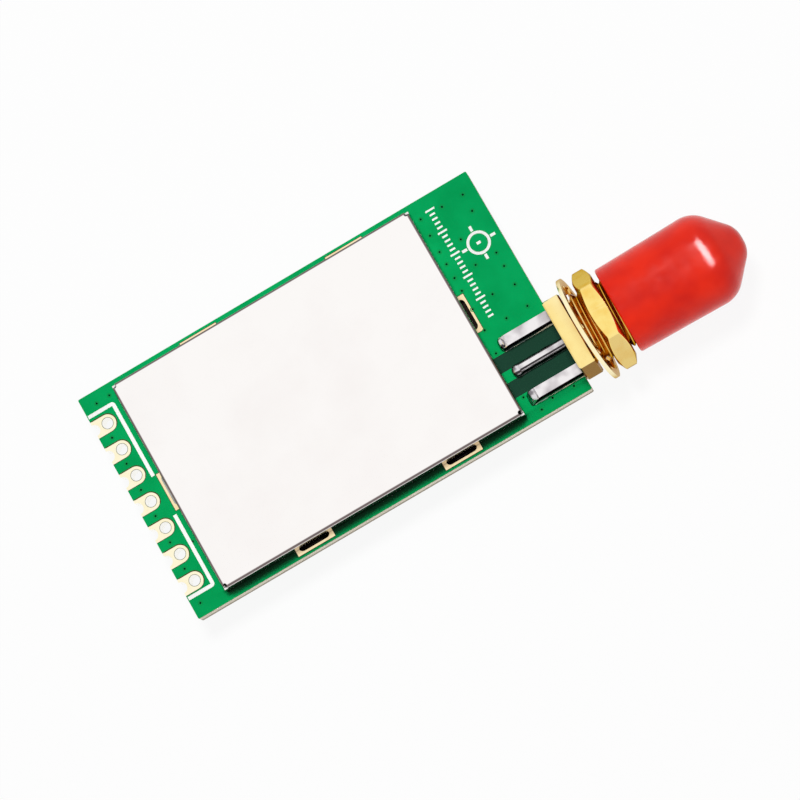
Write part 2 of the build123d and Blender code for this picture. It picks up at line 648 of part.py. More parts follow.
PIECES = {
    "board": board(),
    "ground_lands": ground_lands(),
    "signal_land": signal_land(),
    "shield_can": shield_can(),
    "connector_body": connector_body(),
    "connector_insulator": insulator(),
    "centre_contact": centre_contact(),
    "leg_solder": leg_solder(),
    "tail_solder": tail_solder(),
    "lock_washer": lock_washer(),
    "hex_nut": hex_nut(),
    "dust_cap": dust_cap(),
    "transceiver_chip": on_board(transceiver_chip(), *TRANSCEIVER_PLACE),
    "microcontroller": on_board(microcontroller(), *MICROCONTROLLER_PLACE),
    "crystal": on_board(crystal_unit(), *CRYSTAL_PLACE),
    "rf_switch": on_board(rf_switch(), *RF_SWITCH_PLACE),
    "voltage_regulator": on_board(voltage_regulator(), *REGULATOR_PLACE),
    "chip_capacitors": group(chip_part(*CAPACITOR), CAPACITOR_PLACES),
    "chip_resistors": group(chip_part(*RESISTOR), RESISTOR_PLACES),
    "chip_inductors": group(chip_part(*INDUCTOR), INDUCTOR_PLACES),
}
for number, row in enumerate(contact_rows(), 1):
    PIECES[f"edge_contact_{number}"] = edge_contact(row)
for number, place in enumerate(slot_places(), 1):
    PIECES[f"can_land_{number}"] = can_land(place)

os.makedirs("parts", exist_ok=True)
for name, piece in PIECES.items():
    export_step(piece, f"parts/{name}.step")
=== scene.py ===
"""Looks of a small radio module: a green board, a folded shield can and a capped aerial connector.

Every length is in metres, in the module's own frame: +X runs along the board to the connector, and
+Z is the component side. Sizes that the module's pieces share are read from their boxes.
"""

import logging
from dataclasses import dataclass, field
from enum import Enum
from math import acos, ceil, cos, hypot, pi, radians, sin, tan
from typing import Callable, Iterable, Sequence

import bmesh
import bpy
from mathutils import Matrix, Quaternion, Vector, noise


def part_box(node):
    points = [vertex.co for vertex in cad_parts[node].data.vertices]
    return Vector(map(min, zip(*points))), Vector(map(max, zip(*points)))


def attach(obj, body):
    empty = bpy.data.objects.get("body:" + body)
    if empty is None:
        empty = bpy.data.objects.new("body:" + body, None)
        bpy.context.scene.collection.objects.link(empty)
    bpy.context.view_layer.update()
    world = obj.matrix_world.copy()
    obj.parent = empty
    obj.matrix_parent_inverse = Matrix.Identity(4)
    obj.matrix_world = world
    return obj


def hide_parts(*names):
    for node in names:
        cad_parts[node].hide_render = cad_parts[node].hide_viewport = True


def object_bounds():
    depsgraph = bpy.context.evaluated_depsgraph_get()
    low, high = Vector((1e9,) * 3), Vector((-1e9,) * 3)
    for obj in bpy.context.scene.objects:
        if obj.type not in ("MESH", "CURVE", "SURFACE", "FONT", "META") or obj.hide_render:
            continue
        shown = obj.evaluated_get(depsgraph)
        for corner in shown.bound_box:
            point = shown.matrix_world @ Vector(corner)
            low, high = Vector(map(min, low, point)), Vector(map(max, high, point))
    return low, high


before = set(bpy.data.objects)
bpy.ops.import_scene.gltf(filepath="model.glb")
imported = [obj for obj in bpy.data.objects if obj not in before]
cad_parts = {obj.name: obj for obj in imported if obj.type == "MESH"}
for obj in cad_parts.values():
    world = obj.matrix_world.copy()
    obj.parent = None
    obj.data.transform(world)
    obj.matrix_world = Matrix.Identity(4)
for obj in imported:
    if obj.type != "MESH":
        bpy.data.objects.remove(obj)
cad_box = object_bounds()

LOG = logging.getLogger("radio_module")
MM = 0.001
MERGE_DISTANCE = 0.002 * MM
FLAT_ANGLE = radians(0.5)
FACE_WEIGHT = 60

Colour = tuple[float, float, float]
Point2 = tuple[float, float]
Point3 = tuple[float, float, float]
Socket = bpy.types.NodeSocket
WHITE: Colour = (1.0, 1.0, 1.0)


class Body(Enum):
    """The moving bodies of the module."""

    MODULE = "module"
    WASHER = "lock_washer"
    NUT = "hex_nut"
    CAP = "dust_cap"


class Face(Enum):
    """The two faces of the board."""

    TOP = 1
    UNDERSIDE = -1


def shade(red: int, green: int, blue: int) -> Colour:
    """The linear colour of a shade written as it looks, from 0 to 255."""
    parts = [value / 255 for value in (red, green, blue)]
    return tuple(p / 12.92 if p <= 0.04045 else ((p + 0.055) / 1.055) ** 2.4 for p in parts)


class Nodes:
    """A node tree, with short calls for its nodes and links."""

    def __init__(self, tree: bpy.types.NodeTree) -> None:
        self.tree = tree

    def feed(self, socket: Socket, value: object) -> None:
        """Links a socket, or sets its value."""
        if isinstance(value, Socket):
            self.tree.links.new(value, socket)
        elif socket.type == "RGBA":
            socket.default_value = (*value, 1.0)
        else:
            socket.default_value = value

    def node(self, kind: str, settings: dict[str, object] | None = None, *values: object,
             **sockets: object) -> bpy.types.Node:
        """A new node.

        Args:
            kind: the node's type.
            settings: its own settings.
            values: values or links for its first sockets, in order.
            sockets: values or links by the socket's name, with underscores for spaces.

        Returns:
            The node.
        """
        made = self.tree.nodes.new(kind)
        for key, value in (settings or {}).items():
            setattr(made, key, value)
        for socket, value in zip(made.inputs, values):
            self.feed(socket, value)
        for key, value in sockets.items():
            found = next(s for s in made.inputs if s.name == key.replace("_", " ") and s.enabled)
            self.feed(found, value)
        return made

    def first(self, kind: str, settings: dict[str, object] | None = None, *values: object,
              **sockets: object) -> Socket:
        """The first output of a new node."""
        return self.node(kind, settings, *values, **sockets).outputs[0]

    def math(self, operation: str, *values: object) -> Socket:
        """The result of one sum."""
        return self.first("ShaderNodeMath", {"operation": operation}, *values)

    def span(self, value: Socket, low: float, high: float, start: float = 0.0, end: float = 1.0) -> Socket:
        """A value brought from one span to another, and held inside it."""
        return self.first("ShaderNodeMapRange", None, value, low, high, start, end)


class Graph(Nodes):
    """A material's node tree, with what the finishes share."""

    def __init__(self, name: str) -> None:
        self.material = bpy.data.materials.new(name)
        self.material.use_nodes = True
        super().__init__(self.material.node_tree)
        self.shader = self.tree.nodes["Principled BSDF"]
        self.place = self.node("ShaderNodeTexCoord").outputs["Object"]

    def set(self, **values: object) -> None:
        """Sets or links sockets of the shader, with underscores for the spaces in their names."""
        for key, value in values.items():
            self.feed(self.shader.inputs[key.replace("_", " ")], value)

    def stretched(self, scale: Point3) -> Socket:
        """Object coordinates stretched along each axis."""
        return self.first("ShaderNodeMapping", Vector=self.place, Scale=scale)

    def noise(self, size: float, detail: float = 3.0, place: Socket | None = None) -> Socket:
        """Cloudy noise from 0 to 1.

        Args:
            size: the width of its features.
            detail: how many finer layers it has.
            place: the coordinates, or the object's own.

        Returns:
            The noise's value.
        """
        return self.first("ShaderNodeTexNoise", Vector=place or self.place, Scale=1 / size, Detail=detail)

    def mix(self, share: Socket | float, first: object, second: object) -> Socket:
        """One colour passing into another."""
        made = self.node("ShaderNodeMix", {"data_type": "RGBA"}, share)
        # Each kind of value has sockets of its own: those of colours are the inputs 6 and 7 and the output 2.
        self.feed(made.inputs[6], first)
        self.feed(made.inputs[7], second)
        return made.outputs[2]

    def axes(self, vector: Socket) -> tuple[Socket, Socket, Socket]:
        """The three parts of a vector."""
        return tuple(self.node("ShaderNodeSeparateXYZ", Vector=vector).outputs)

    def normal(self) -> Socket:
        """The true normal of the face."""
        return self.node("ShaderNodeNewGeometry").outputs["True Normal"]

    def level(self) -> Socket:
        """1 on faces that lie flat, down to 0 on upright ones."""
        return self.math("ABSOLUTE", self.axes(self.normal())[2])

    def edge_wear(self, low: float, high: float) -> Socket:
        """From 0 on flats and hollows to 1 along raised edges."""
        return self.span(self.node("ShaderNodeNewGeometry").outputs["Pointiness"], low, high)

    def turned_to(self, way: Point3, low: float, high: float) -> Socket:
        """From 0 to 1 as faces turn towards a direction."""
        made = self.node("ShaderNodeVectorMath", {"operation": "DOT_PRODUCT"}, self.normal(), way)
        return self.span(made.outputs["Value"], low, high)

    def hollow(self, reach: float, closed: float, opened: float) -> Socket:
        """From 0 in the open to 1 in hollows.

        Args:
            reach: how near the walls of a hollow are.
            closed: the share of open sky that counts as closed in.
            opened: the share that counts as open.

        Returns:
            How closed in the face is.
        """
        made = self.node("ShaderNodeAmbientOcclusion", {"samples": 12}, Distance=reach)
        return self.span(made.outputs["AO"], opened, closed)

    def bump(self, height: Socket, depth: float) -> None:
        """Raises the surface by a height of up to depth."""
        made = self.node("ShaderNodeBump", Height=height, Distance=depth)
        self.set(Normal=made.outputs["Normal"])


@dataclass(frozen=True)
class Finish:
    """A finish that makes its material once.

    Attributes:
        name: the material's name.
    """

    name: str

    def material(self) -> bpy.types.Material:
        """The material, made when first asked for."""
        name = f"{self.name}_finish"
        made = bpy.data.materials.get(name)
        if made is None:
            graph = Graph(name)
            self.paint(graph)
            made = graph.material
        return made

    def paint(self, graph: Graph) -> None:
        """Builds the finish in a node tree."""
        raise NotImplementedError


@dataclass(frozen=True)
class Metal(Finish):
    """Plated or plain metal with cloudy tarnish, fine grain and brighter edges.

    Attributes:
        bright: its colour on clean faces.
        dull: its colour where it is stained.
        smooth: its least roughness.
        rough: its greatest roughness.
        cloud: the width of its stains.
        grain: the width of its grain.
        grain_depth: how deep the grain is.
        stretch: how the grain is drawn out along each axis.
        edge: the colour of its worn edges.
        deep: painted shade in hollows, standing for the metal reflecting itself there.
        reach: how near the far side of a hollow is.
        side: painted shade on faces turned to -Y, which look away from the light.
        slant: its tint where it is seen at a slant.
        wall: its colour on upright faces, where light or shade is painted.
    """

    bright: Colour
    dull: Colour
    smooth: float = 0.12
    rough: float = 0.3
    cloud: float = 1.2 * MM
    grain: float = 0.08 * MM
    grain_depth: float = 0.001 * MM
    stretch: Point3 = (1.0, 1.0, 1.0)
    edge: Colour | None = None
    deep: Colour | None = None
    reach: float = 1.6 * MM
    side: Colour | None = None
    slant: Colour = (1.0, 1.0, 1.0)
    wall: Colour | None = None

    def shaded(self, graph: Graph, colour: Socket) -> Socket:
        """The colour with painted light or shade on its walls, and painted shade in its hollows and on its -Y
        side.
        """
        # Painted light or shade on upright faces: light on the contacts' hole walls, shade on the slots'
        # walls.
        if self.wall:
            colour = graph.mix(graph.span(graph.level(), 0.6, 0.4), colour, self.wall)
        # Painted shade on faces turned to -Y, away from the light.
        if self.side:
            colour = graph.mix(graph.turned_to((0.0, -1.0, 0.0), 0.8, 0.97), colour, self.side)
        # Painted shade in hollows, by ambient occlusion.
        if self.deep:
            colour = graph.mix(graph.hollow(self.reach, 0.35, 0.8), colour, self.deep)
        return colour

    def paint(self, graph: Graph) -> None:
        """Mixes stains, grain and edges."""
        stain = graph.noise(self.cloud, 4.0)
        grain = graph.noise(self.grain, 2.0, graph.stretched(self.stretch))
        colour = graph.mix(graph.span(stain, 0.45, 0.75), self.bright, self.dull)
        if self.edge:
            colour = graph.mix(graph.edge_wear(0.52, 0.6), colour, self.edge)
        colour = self.shaded(graph, colour)
        spread = graph.math("MULTIPLY_ADD", stain, 0.7, graph.math("MULTIPLY", grain, 0.3))
        self.plate(graph, colour, graph.span(spread, 0.3, 0.7, self.smooth, self.rough), grain)

    def plate(self, graph: Graph, colour: Socket, roughness: Socket, height: Socket) -> None:
        """Sets the shader to metal, raised by a height of up to the grain's depth."""
        graph.set(Base_Color=colour, Metallic=1.0, Roughness=roughness, Specular_Tint=self.slant)
        graph.bump(height, self.grain_depth)


@dataclass(frozen=True)
class SolderMetal(Metal):
    """Solder that set with a mottled skin, bright in places and frosted in others.

    Attributes:
        mottle: the width of its patches.
        line: a painted reflection: the dark line along its rounded sides, standing for the board reflected
            there.
    """

    mottle: float = 0.7 * MM
    line: Colour = shade(62, 57, 60)

    def paint(self, graph: Graph) -> None:
        """Mixes frosted patches into the bright skin, then paints a dark reflection along its rounded sides
        and shade in its hollows and on its -Y side.
        """
        patch = graph.noise(self.mottle, 1.6)
        grain = graph.noise(self.grain, 3.0)
        # Painted reflection: a dark band where the normal leans about halfway towards -Y.
        reflection_band = graph.math("ABSOLUTE", graph.math("ADD", graph.axes(graph.normal())[1], 0.5))
        colour = graph.mix(graph.span(patch, 0.46, 0.64), self.bright, self.dull)
        colour = self.shaded(graph, graph.mix(graph.span(reflection_band, 0.26, 0.14), colour, self.line))
        height = graph.math("MULTIPLY_ADD", grain, 0.2, patch)
        self.plate(graph, colour, graph.span(patch, 0.35, 0.7, self.smooth, self.rough), height)


@dataclass(frozen=True)
class SheetMetal(Metal):
    """Bright sheet with a dark line painted along its bends, a painted reflection of the horizon.

    Attributes:
        rim: the colour of that painted line.
        tab_shade: painted shade on what stands inside the board, the tabs in the slots.
        board_face: a height just under the board's face.
        lit_end: how far the slot at the contacts' end reaches, which light comes through, so its tab gets no
            painted shade.
    """

    rim: Colour = shade(116, 103, 102)
    tab_shade: Colour = shade(54, 48, 44)
    board_face: float = 1.58 * MM
    lit_end: float = 3 * MM

    def shaded(self, graph: Graph, colour: Socket) -> Socket:
        """The colour with the painted reflection along its bends, and painted shade on what stands inside the
        board.
        """
        level = graph.level()
        # Painted reflection: a dark line on the bends, between the flat top and the upright walls.
        bend_reflection = graph.math("MULTIPLY", graph.span(level, 0.97, 0.88), graph.span(level, 0.3, 0.5))
        colour = graph.mix(bend_reflection, super().shaded(graph, colour), self.rim)
        # Painted shade on the tabs inside the board's slots, but for the slot at the contacts' end.
        x, _, z = graph.axes(graph.place)
        inside = graph.math(
            "MULTIPLY", graph.math("LESS_THAN", z, self.board_face),
            graph.math("GREATER_THAN", x, self.lit_end),
        )
        return graph.mix(inside, colour, self.tab_shade)


@dataclass(frozen=True)
class BoardFinish(Finish):
    """Solder mask on both faces, dark where no copper lies under it and in the can's painted shadow, and bare
    laminate at the cuts.

    Attributes:
        thickness: the board's thickness, from Z = 0.
        mask: the mask over copper.
        mask_deep: the same where it lies thicker.
        window: the mask with no copper under it.
        laminate: the cut laminate.
        fibre: the darker glass layers in it.
        rim: the edge of the mask, seen from the side, and the painted shade at the foot of the cut.
        gap: the floor round a land.
        shadow: the mask in the lee of the can.
        lee_start: a line just inside the can's wall on that side, where the lee starts.
        lee_blend: how far it takes to set in.
        lee_reach: how near the can stands to what it shades.
        lee_open: the shares of open sky where the shade is full and where it ends.
        window_depth: how far the window lies under the mask's face.
        pocket_depth: how far the floor round a land lies under it.
        foot: where the painted shade at the cut's foot starts and where it is darkest, as shares of its
            height.
    """

    thickness: float
    lee_start: float
    mask: Colour = shade(0, 161, 88)
    mask_deep: Colour = shade(0, 149, 79)
    window: Colour = shade(24, 62, 46)
    laminate: Colour = shade(230, 221, 204)
    fibre: Colour = shade(219, 209, 191)
    rim: Colour = shade(150, 140, 124)
    gap: Colour = shade(50, 56, 30)
    shadow: Colour = shade(0, 56, 28)
    lee_blend: float = 0.3 * MM
    lee_reach: float = 2.0 * MM
    lee_open: tuple[float, float] = (0.66, 0.76)
    window_depth: float = 0.035 * MM
    pocket_depth: float = 0.06 * MM
    foot: tuple[float, float] = (0.5, 0.2)

    def paint(self, graph: Graph) -> None:
        """Chooses the layer by the face's turn and by its depth under the nearer face."""
        _, across, height = graph.axes(graph.place)
        half = self.thickness / 2
        depth = graph.math("SUBTRACT", half, graph.math("ABSOLUTE", graph.math("SUBTRACT", height, half)))
        cut = graph.math("LESS_THAN", graph.level(), 0.5)
        cloud = graph.noise(2.5 * MM)
        skin = graph.mix(graph.span(cloud, 0.35, 0.7), self.mask, self.mask_deep)
        # Painted shadow: the mask darkens in the lee of the can, on its -Y side, where ambient occlusion is
        # low.
        lee = graph.span(across, self.lee_start, self.lee_start - self.lee_blend)
        shaded = graph.math("MULTIPLY", lee, graph.hollow(self.lee_reach, *self.lee_open))
        skin = graph.mix(shaded, skin, self.shadow)
        for limit, colour in (
            (self.window_depth / 2, self.window), ((self.window_depth + self.pocket_depth) / 2, self.gap),
        ):
            skin = graph.mix(graph.math("GREATER_THAN", depth, limit), skin, colour)
        layers = graph.noise(0.09 * MM, 2.0, graph.stretched((0.03, 0.03, 1.0)))
        side = graph.mix(graph.span(layers, 0.4, 0.62), self.laminate, self.fibre)
        lip = graph.math("LESS_THAN", depth, 2 * self.pocket_depth)
        # Painted shade at the foot of the cut.
        foot = graph.span(height, *(share * self.thickness for share in self.foot))
        side = graph.mix(graph.math("MAXIMUM", lip, foot), side, self.rim)
        orange_peel = graph.noise(0.45 * MM, 2.0)
        weave = graph.noise(0.2 * MM, 1.0)
        relief = graph.math("MULTIPLY_ADD", orange_peel, 0.8, graph.math("MULTIPLY", weave, 0.2))
        rough = graph.math("MULTIPLY_ADD", cut, 0.4, graph.span(cloud, 0.3, 0.7, 0.2, 0.3))
        graph.set(Base_Color=graph.mix(cut, skin, side), Roughness=rough, Specular_IOR_Level=0.06)
        graph.bump(relief, 0.002 * MM)


@dataclass(frozen=True)
class Vinyl(Finish):
    """Soft dip-moulded vinyl: glossy, slightly uneven, and lit a little from inside.

    Attributes:
        colour: its main colour.
        deep: its colour where it is thicker.
        roughness: its mean roughness.
    """

    colour: Colour = shade(229, 34, 0)
    deep: Colour = shade(206, 19, 0)
    roughness: float = 0.2

    def paint(self, graph: Graph) -> None:
        """Mixes slow clouds of colour under a smooth skin."""
        cloud = graph.noise(3.0 * MM, 2.0)
        skin = graph.noise(0.7 * MM, 3.0)
        pores = graph.noise(0.06 * MM, 2.0)
        graph.set(
            Base_Color=graph.mix(graph.span(cloud, 0.35, 0.7), self.colour, self.deep),
            Roughness=graph.span(skin, 0.3, 0.7, self.roughness - 0.04, self.roughness + 0.06),
            Subsurface_Weight=0.12, Subsurface_Scale=0.6 * MM, Subsurface_Radius=(1.0, 0.25, 0.1),
            Specular_IOR_Level=0.2,
        )
        graph.bump(graph.math("MULTIPLY_ADD", pores, 0.1, skin), 0.003 * MM)


@dataclass(frozen=True)
class Matt(Finish):
    """Ink, moulding, ceramic or plastic with specks and a fine tooth.

    Attributes:
        colour: its main colour.
        speck: the colour of its specks.
        roughness: its mean roughness.
        size: the width of a speck.
        tooth: how deep its tooth is.
        gloss: how strongly it mirrors.
    """

    colour: Colour
    speck: Colour
    roughness: float = 0.5
    size: float = 0.1 * MM
    tooth: float = 0.002 * MM
    gloss: float = 0.5

    def paint(self, graph: Graph) -> None:
        """Mixes specks into the colour."""
        speck = graph.noise(self.size, 3.0)
        fine = graph.noise(self.size / 3, 2.0)
        graph.set(
            Base_Color=graph.mix(graph.span(speck, 0.5, 0.75), self.colour, self.speck),
            Roughness=graph.span(speck, 0.3, 0.7, self.roughness - 0.08, self.roughness + 0.08),
            Specular_IOR_Level=self.gloss,
        )
        graph.bump(fine, self.tooth)


# The deep, side and wall colours below are painted light and shade: dark hollows, dark faces turned to -Y,
# and lit or shaded upright faces.
GOLD_PLATE = Metal(
    "gold_plate", bright=shade(254, 227, 136), dull=shade(248, 207, 104), rough=0.2,
    grain_depth=0.0005 * MM, edge=shade(255, 238, 180), deep=shade(222, 166, 58), side=shade(184, 152, 112),
    slant=(0.46, 0.35, 0.22),
)
WASHER_PLATE = Metal(
    "washer_plate", bright=shade(255, 244, 200), dull=shade(253, 232, 160), rough=0.22,
    grain_depth=0.0005 * MM, edge=shade(255, 248, 214), deep=shade(226, 170, 66), slant=(0.6, 0.44, 0.24),
)
# Its wall colour paints light on the walls of the contacts' holes.
GOLD_LAND = Metal(
    "gold_land", bright=shade(255, 247, 216), dull=shade(253, 241, 202), smooth=0.16, rough=0.26,
    cloud=0.9 * MM, grain=0.05 * MM, grain_depth=0.002 * MM, wall=shade(255, 253, 246),
)
# Its wall colour paints shade on the walls of the slots.
SLOT_LAND = Metal(
    "slot_land", bright=shade(253, 232, 188), dull=shade(249, 222, 172), smooth=0.16, rough=0.26,
    cloud=0.9 * MM, grain=0.05 * MM, grain_depth=0.002 * MM, wall=shade(66, 56, 44),
)
# Its deep colour paints shade in hollows, and SheetMetal paints a dark reflection on its bends and shade on
# its tabs in the slots.
CAN_SHEET = SheetMetal(
    "can_sheet", bright=shade(251, 248, 246), dull=shade(248, 244, 242), smooth=0.1, rough=0.2,
    cloud=6 * MM, grain=0.25 * MM, grain_depth=0.0004 * MM, stretch=(0.25, 1.0, 1.0), deep=shade(60, 54, 54),
    reach=1.0 * MM, slant=(0.62, 0.58, 0.57),
)
# Tin and solder paint a dark reflection along their rounded sides, and shade in hollows and on faces turned
# to -Y.
TIN = SolderMetal(
    "tinned_leg", bright=shade(240, 236, 237), dull=shade(194, 188, 191), rough=0.26, grain=0.06 * MM,
    deep=shade(120, 116, 120), reach=0.5 * MM, side=shade(92, 86, 90), mottle=1.5 * MM,
    slant=(0.2, 0.19, 0.2),
)
SOLDER = SolderMetal(
    "solder", bright=shade(222, 218, 221), dull=shade(132, 127, 131), smooth=0.1, grain_depth=0.003 * MM,
    deep=shade(64, 60, 62), reach=0.4 * MM, side=shade(58, 54, 56), slant=(0.2, 0.19, 0.2),
)
RED_VINYL = Vinyl("red_vinyl")
WHITE_INK = Matt("white_ink", shade(248, 248, 246), shade(232, 234, 230), 0.55, 0.06 * MM)
INSULATOR = Matt("insulator", shade(238, 236, 228), shade(226, 222, 212), 0.42, 0.3 * MM)
MOULDING = Matt("moulding", shade(38, 38, 40), shade(54, 54, 56), 0.6, 0.08 * MM, 0.004 * MM)
CERAMIC = Matt("chip_ceramic", shade(176, 152, 118), shade(150, 126, 92), 0.5, 0.1 * MM)
VIA_RING = Matt("via_ring", shade(22, 146, 74), shade(4, 142, 76), 0.7, 0.08 * MM, gloss=0.06)
VIA_WELL = Matt("via_well", shade(4, 14, 6), shade(12, 26, 14), 0.7, 0.05 * MM, gloss=0.04)
# Dark lines painted beside the edge contacts and round their holes, as their shadows.
PAD_SHADOW = Matt("pad_shadow", shade(54, 64, 26), shade(92, 92, 44), 0.5, 0.2 * MM, gloss=0.1)
# Dark plugs in the slots, painted shade.
SLOT_SHADE = Matt("slot_shade", shade(34, 28, 24), shade(66, 58, 50), 0.45, 0.8 * MM, gloss=0.2)


class Workshop:
    """Makes, finishes and reports pieces."""

    @staticmethod
    def place(name: str, data: bpy.types.ID) -> bpy.types.Object:
        """A new object in the scene."""
        made = bpy.data.objects.new(name, data)
        bpy.context.scene.collection.objects.link(made)
        return made

    @staticmethod
    def paint(mesh: bpy.types.Mesh, finishes: Iterable[Finish]) -> None:
        """Gives a mesh its finishes, one to a material slot."""
        mesh.materials.clear()
        for finish in finishes:
            mesh.materials.append(finish.material())

    @staticmethod
    def piece(name: str, body: Body, mesh: bpy.types.Mesh, *finishes: Finish, replaces: Sequence[str] = (),
              slot: str | None = None) -> bpy.types.Object:
        """Puts a mesh into the scene as a piece that rides on a body.

        Args:
            name: the piece's name.
            body: the body that carries it.
            mesh: the mesh, already in place.
            finishes: the finishes for its material slots.
            replaces: the solids that it stands for.
            slot: the record's slot for its finish; not used.

        Returns:
            The new object.
        """
        piece = Workshop.place(name, mesh)
        mesh.name = name
        if finishes:
            Workshop.paint(mesh, finishes)
        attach(piece, body.value)
        if replaces:
            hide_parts(*replaces)
        LOG.info("%s: %d faces on %s", name, len(mesh.polygons), body.value)
        return piece

    @staticmethod
    def ended(work: bmesh.types.BMesh, mesh: bpy.types.Mesh | None = None) -> bpy.types.Mesh:
        """Ends some work, and puts it into a mesh with smooth shading.

        Args:
            work: the work, which is freed.
            mesh: the mesh that takes it, or none for a new one.

        Returns:
            The mesh.
        """
        made = mesh or bpy.data.meshes.new("mesh")
        work.to_mesh(made)
        work.free()
        made.shade_smooth()
        return made

    @staticmethod
    def mesh(points: Iterable[Sequence[float]], faces: Iterable[Sequence[int]]) -> bpy.types.Mesh:
        """A closed mesh with its doubles merged and its faces turned outwards."""
        made = bpy.data.meshes.new("mesh")
        made.from_pydata(list(points), [], list(faces))
        work = bmesh.new()
        work.from_mesh(made)
        bmesh.ops.remove_doubles(work, verts=work.verts, dist=MERGE_DISTANCE / 10)
        bmesh.ops.recalc_face_normals(work, faces=work.faces)
        return Workshop.ended(work, made)

    @staticmethod
    def ring_faces(rings: int, count: int, closed: bool) -> list[tuple[int, ...]]:
        """Faces from each ring of points to the next.

        Args:
            rings: how many rings there are.
            count: how many points a ring has.
            closed: whether the last ring joins up with the first.

        Returns:
            The faces, each with its two points on the one ring first.
        """
        faces = []
        for k in range(rings if closed else rings - 1):
            here, after = k * count, (k + 1) % rings * count
            for i in range(count):
                j = (i + 1) % count
                faces.append((here + i, here + j, after + j, after + i))
        return faces

    @staticmethod
    def copy_of(node: str) -> bpy.types.Mesh:
        """A copy of a solid's mesh with its triangles merged into faces."""
        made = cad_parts[node].data.copy()
        work = bmesh.new()
        work.from_mesh(made)
        bmesh.ops.remove_doubles(work, verts=work.verts, dist=MERGE_DISTANCE)
        bmesh.ops.dissolve_limit(
            work, angle_limit=FLAT_ANGLE, verts=work.verts, edges=work.edges, delimit={"NORMAL"}
        )
        return Workshop.ended(work, made)

    @staticmethod
    def soften(piece: bpy.types.Object, width: float, angle: float, segments: int = 2) -> None:
        """Rounds the edges that are sharper than an angle, and keeps the faces between them flat.

        Args:
            piece: the piece.
            width: the width of the rounding.
            angle: the angle in degrees.
            segments: how many steps the rounding has.
        """
        bevel = piece.modifiers.new("soft_edges", "BEVEL")
        bevel.width = width
        bevel.segments = segments
        bevel.limit_method = "ANGLE"
        bevel.angle_limit = radians(angle)
        bevel.use_clamp_overlap = True
        normals = piece.modifiers.new("flat_faces", "WEIGHTED_NORMAL")
        normals.mode = "FACE_AREA"
        normals.weight = FACE_WEIGHT

    @staticmethod
    def dress(node: str, finish: Finish) -> None:
        """Gives a solid its finish and leaves its shape alone."""
        Workshop.paint(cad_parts[node].data, [finish])
        LOG.info("%s: solid kept, in %s", node, finish.name)


class Tree(Nodes):
    """A Geometry Nodes tree with named sizes, which makes one mesh."""

    def __init__(self, name: str, *sizes: str) -> None:
        super().__init__(bpy.data.node_groups.new(name, "GeometryNodeTree"))
        face = self.tree.interface
        kinds = {"Geometry": "Geometry", **dict.fromkeys(sizes, "Float"), "Material": "Material"}
        self.keys = {
            label: face.new_socket(label, in_out="INPUT", socket_type=f"NodeSocket{kind}").identifier
            for label, kind in kinds.items()
        }
        face.new_socket("Geometry", in_out="OUTPUT", socket_type="NodeSocketGeometry")
        given = self.node("NodeGroupInput").outputs
        self.start, self.material = given["Geometry"], given["Material"]
        self.sizes = [given[label] for label in sizes]

    def sweep(self, path: Socket, section: Socket, smooth: bool) -> Socket:
        """A section swept along a path, with its height kept upright."""
        flat = self.first("GeometryNodeSetCurveNormal", {"mode": "Z_UP"}, Curve=path)
        swept = self.first("GeometryNodeCurveToMesh", Curve=flat, Profile_Curve=section, Fill_Caps=True)
        return self.first("GeometryNodeSetShadeSmooth", Geometry=swept, Shade_Smooth=smooth)

    def scatter(self, shape: Socket, **sockets: object) -> Socket:
        """A shape at each point of the mesh that the tree starts from."""
        return self.first("GeometryNodeInstanceOnPoints", Points=self.start, Instance=shape, **sockets)

    def end(self, shape: Socket) -> "Tree":
        """Ends the tree: the instances made real and the material set."""
        real = self.first("GeometryNodeRealizeInstances", Geometry=shape)
        painted = self.first("GeometryNodeSetMaterial", Geometry=real, Material=self.material)
        self.node("NodeGroupOutput", None, painted)
        return self

    def run(self, start: bpy.types.Mesh, material: bpy.types.Material, **sizes: float) -> bpy.types.Mesh:
        """Runs the tree on a mesh.

        Args:
            start: the mesh that it starts from.
            material: the material of what it makes.
            sizes: its sizes by name.

        Returns:
            The plain mesh that it makes.
        """
        holder = Workshop.place("holder", start)
        modifier = holder.modifiers.new("shape", "NODES")
        modifier.node_group = self.tree
        for label, value in {**sizes, "Material": material}.items():
            modifier[self.keys[label]] = value
        evaluated = holder.evaluated_get(bpy.context.evaluated_depsgraph_get())
        made = bpy.data.meshes.new_from_object(evaluated)
        bpy.data.objects.remove(holder)
        return made


def line_mesh(paths: Iterable[Sequence[Point3]]) -> bpy.types.Mesh:
    """Loose edges along some paths."""
    points: list[Point3] = []
    edges: list[tuple[int, int]] = []
    for path in paths:
        first = len(points)
        points.extend(path)
        edges.extend((first + i, first + i + 1) for i in range(len(path) - 1))
    made = bpy.data.meshes.new("lines")
    made.from_pydata(points, edges, [])
    return made


def point_mesh(points: Sequence[Point3]) -> bpy.types.Mesh:
    """Loose points."""
    made = bpy.data.meshes.new("points")
    made.from_pydata(points, [], [])
    return made


def ink_line_tree() -> Tree:
    """Flat printed lines along loose edges, with their corners rounded."""
    tree = Tree("ink_lines", "Width", "Thickness", "Corner")
    width, thickness, corner = tree.sizes
    curve = tree.first("GeometryNodeMeshToCurve", Mesh=tree.start)
    rounded = tree.first("GeometryNodeFilletCurve", {"mode": "POLY"}, Curve=curve, Count=4, Radius=corner)
    section = tree.first("GeometryNodeCurvePrimitiveQuadrilateral", Width=width, Height=thickness)
    return tree.end(tree.sweep(rounded, section, smooth=False))


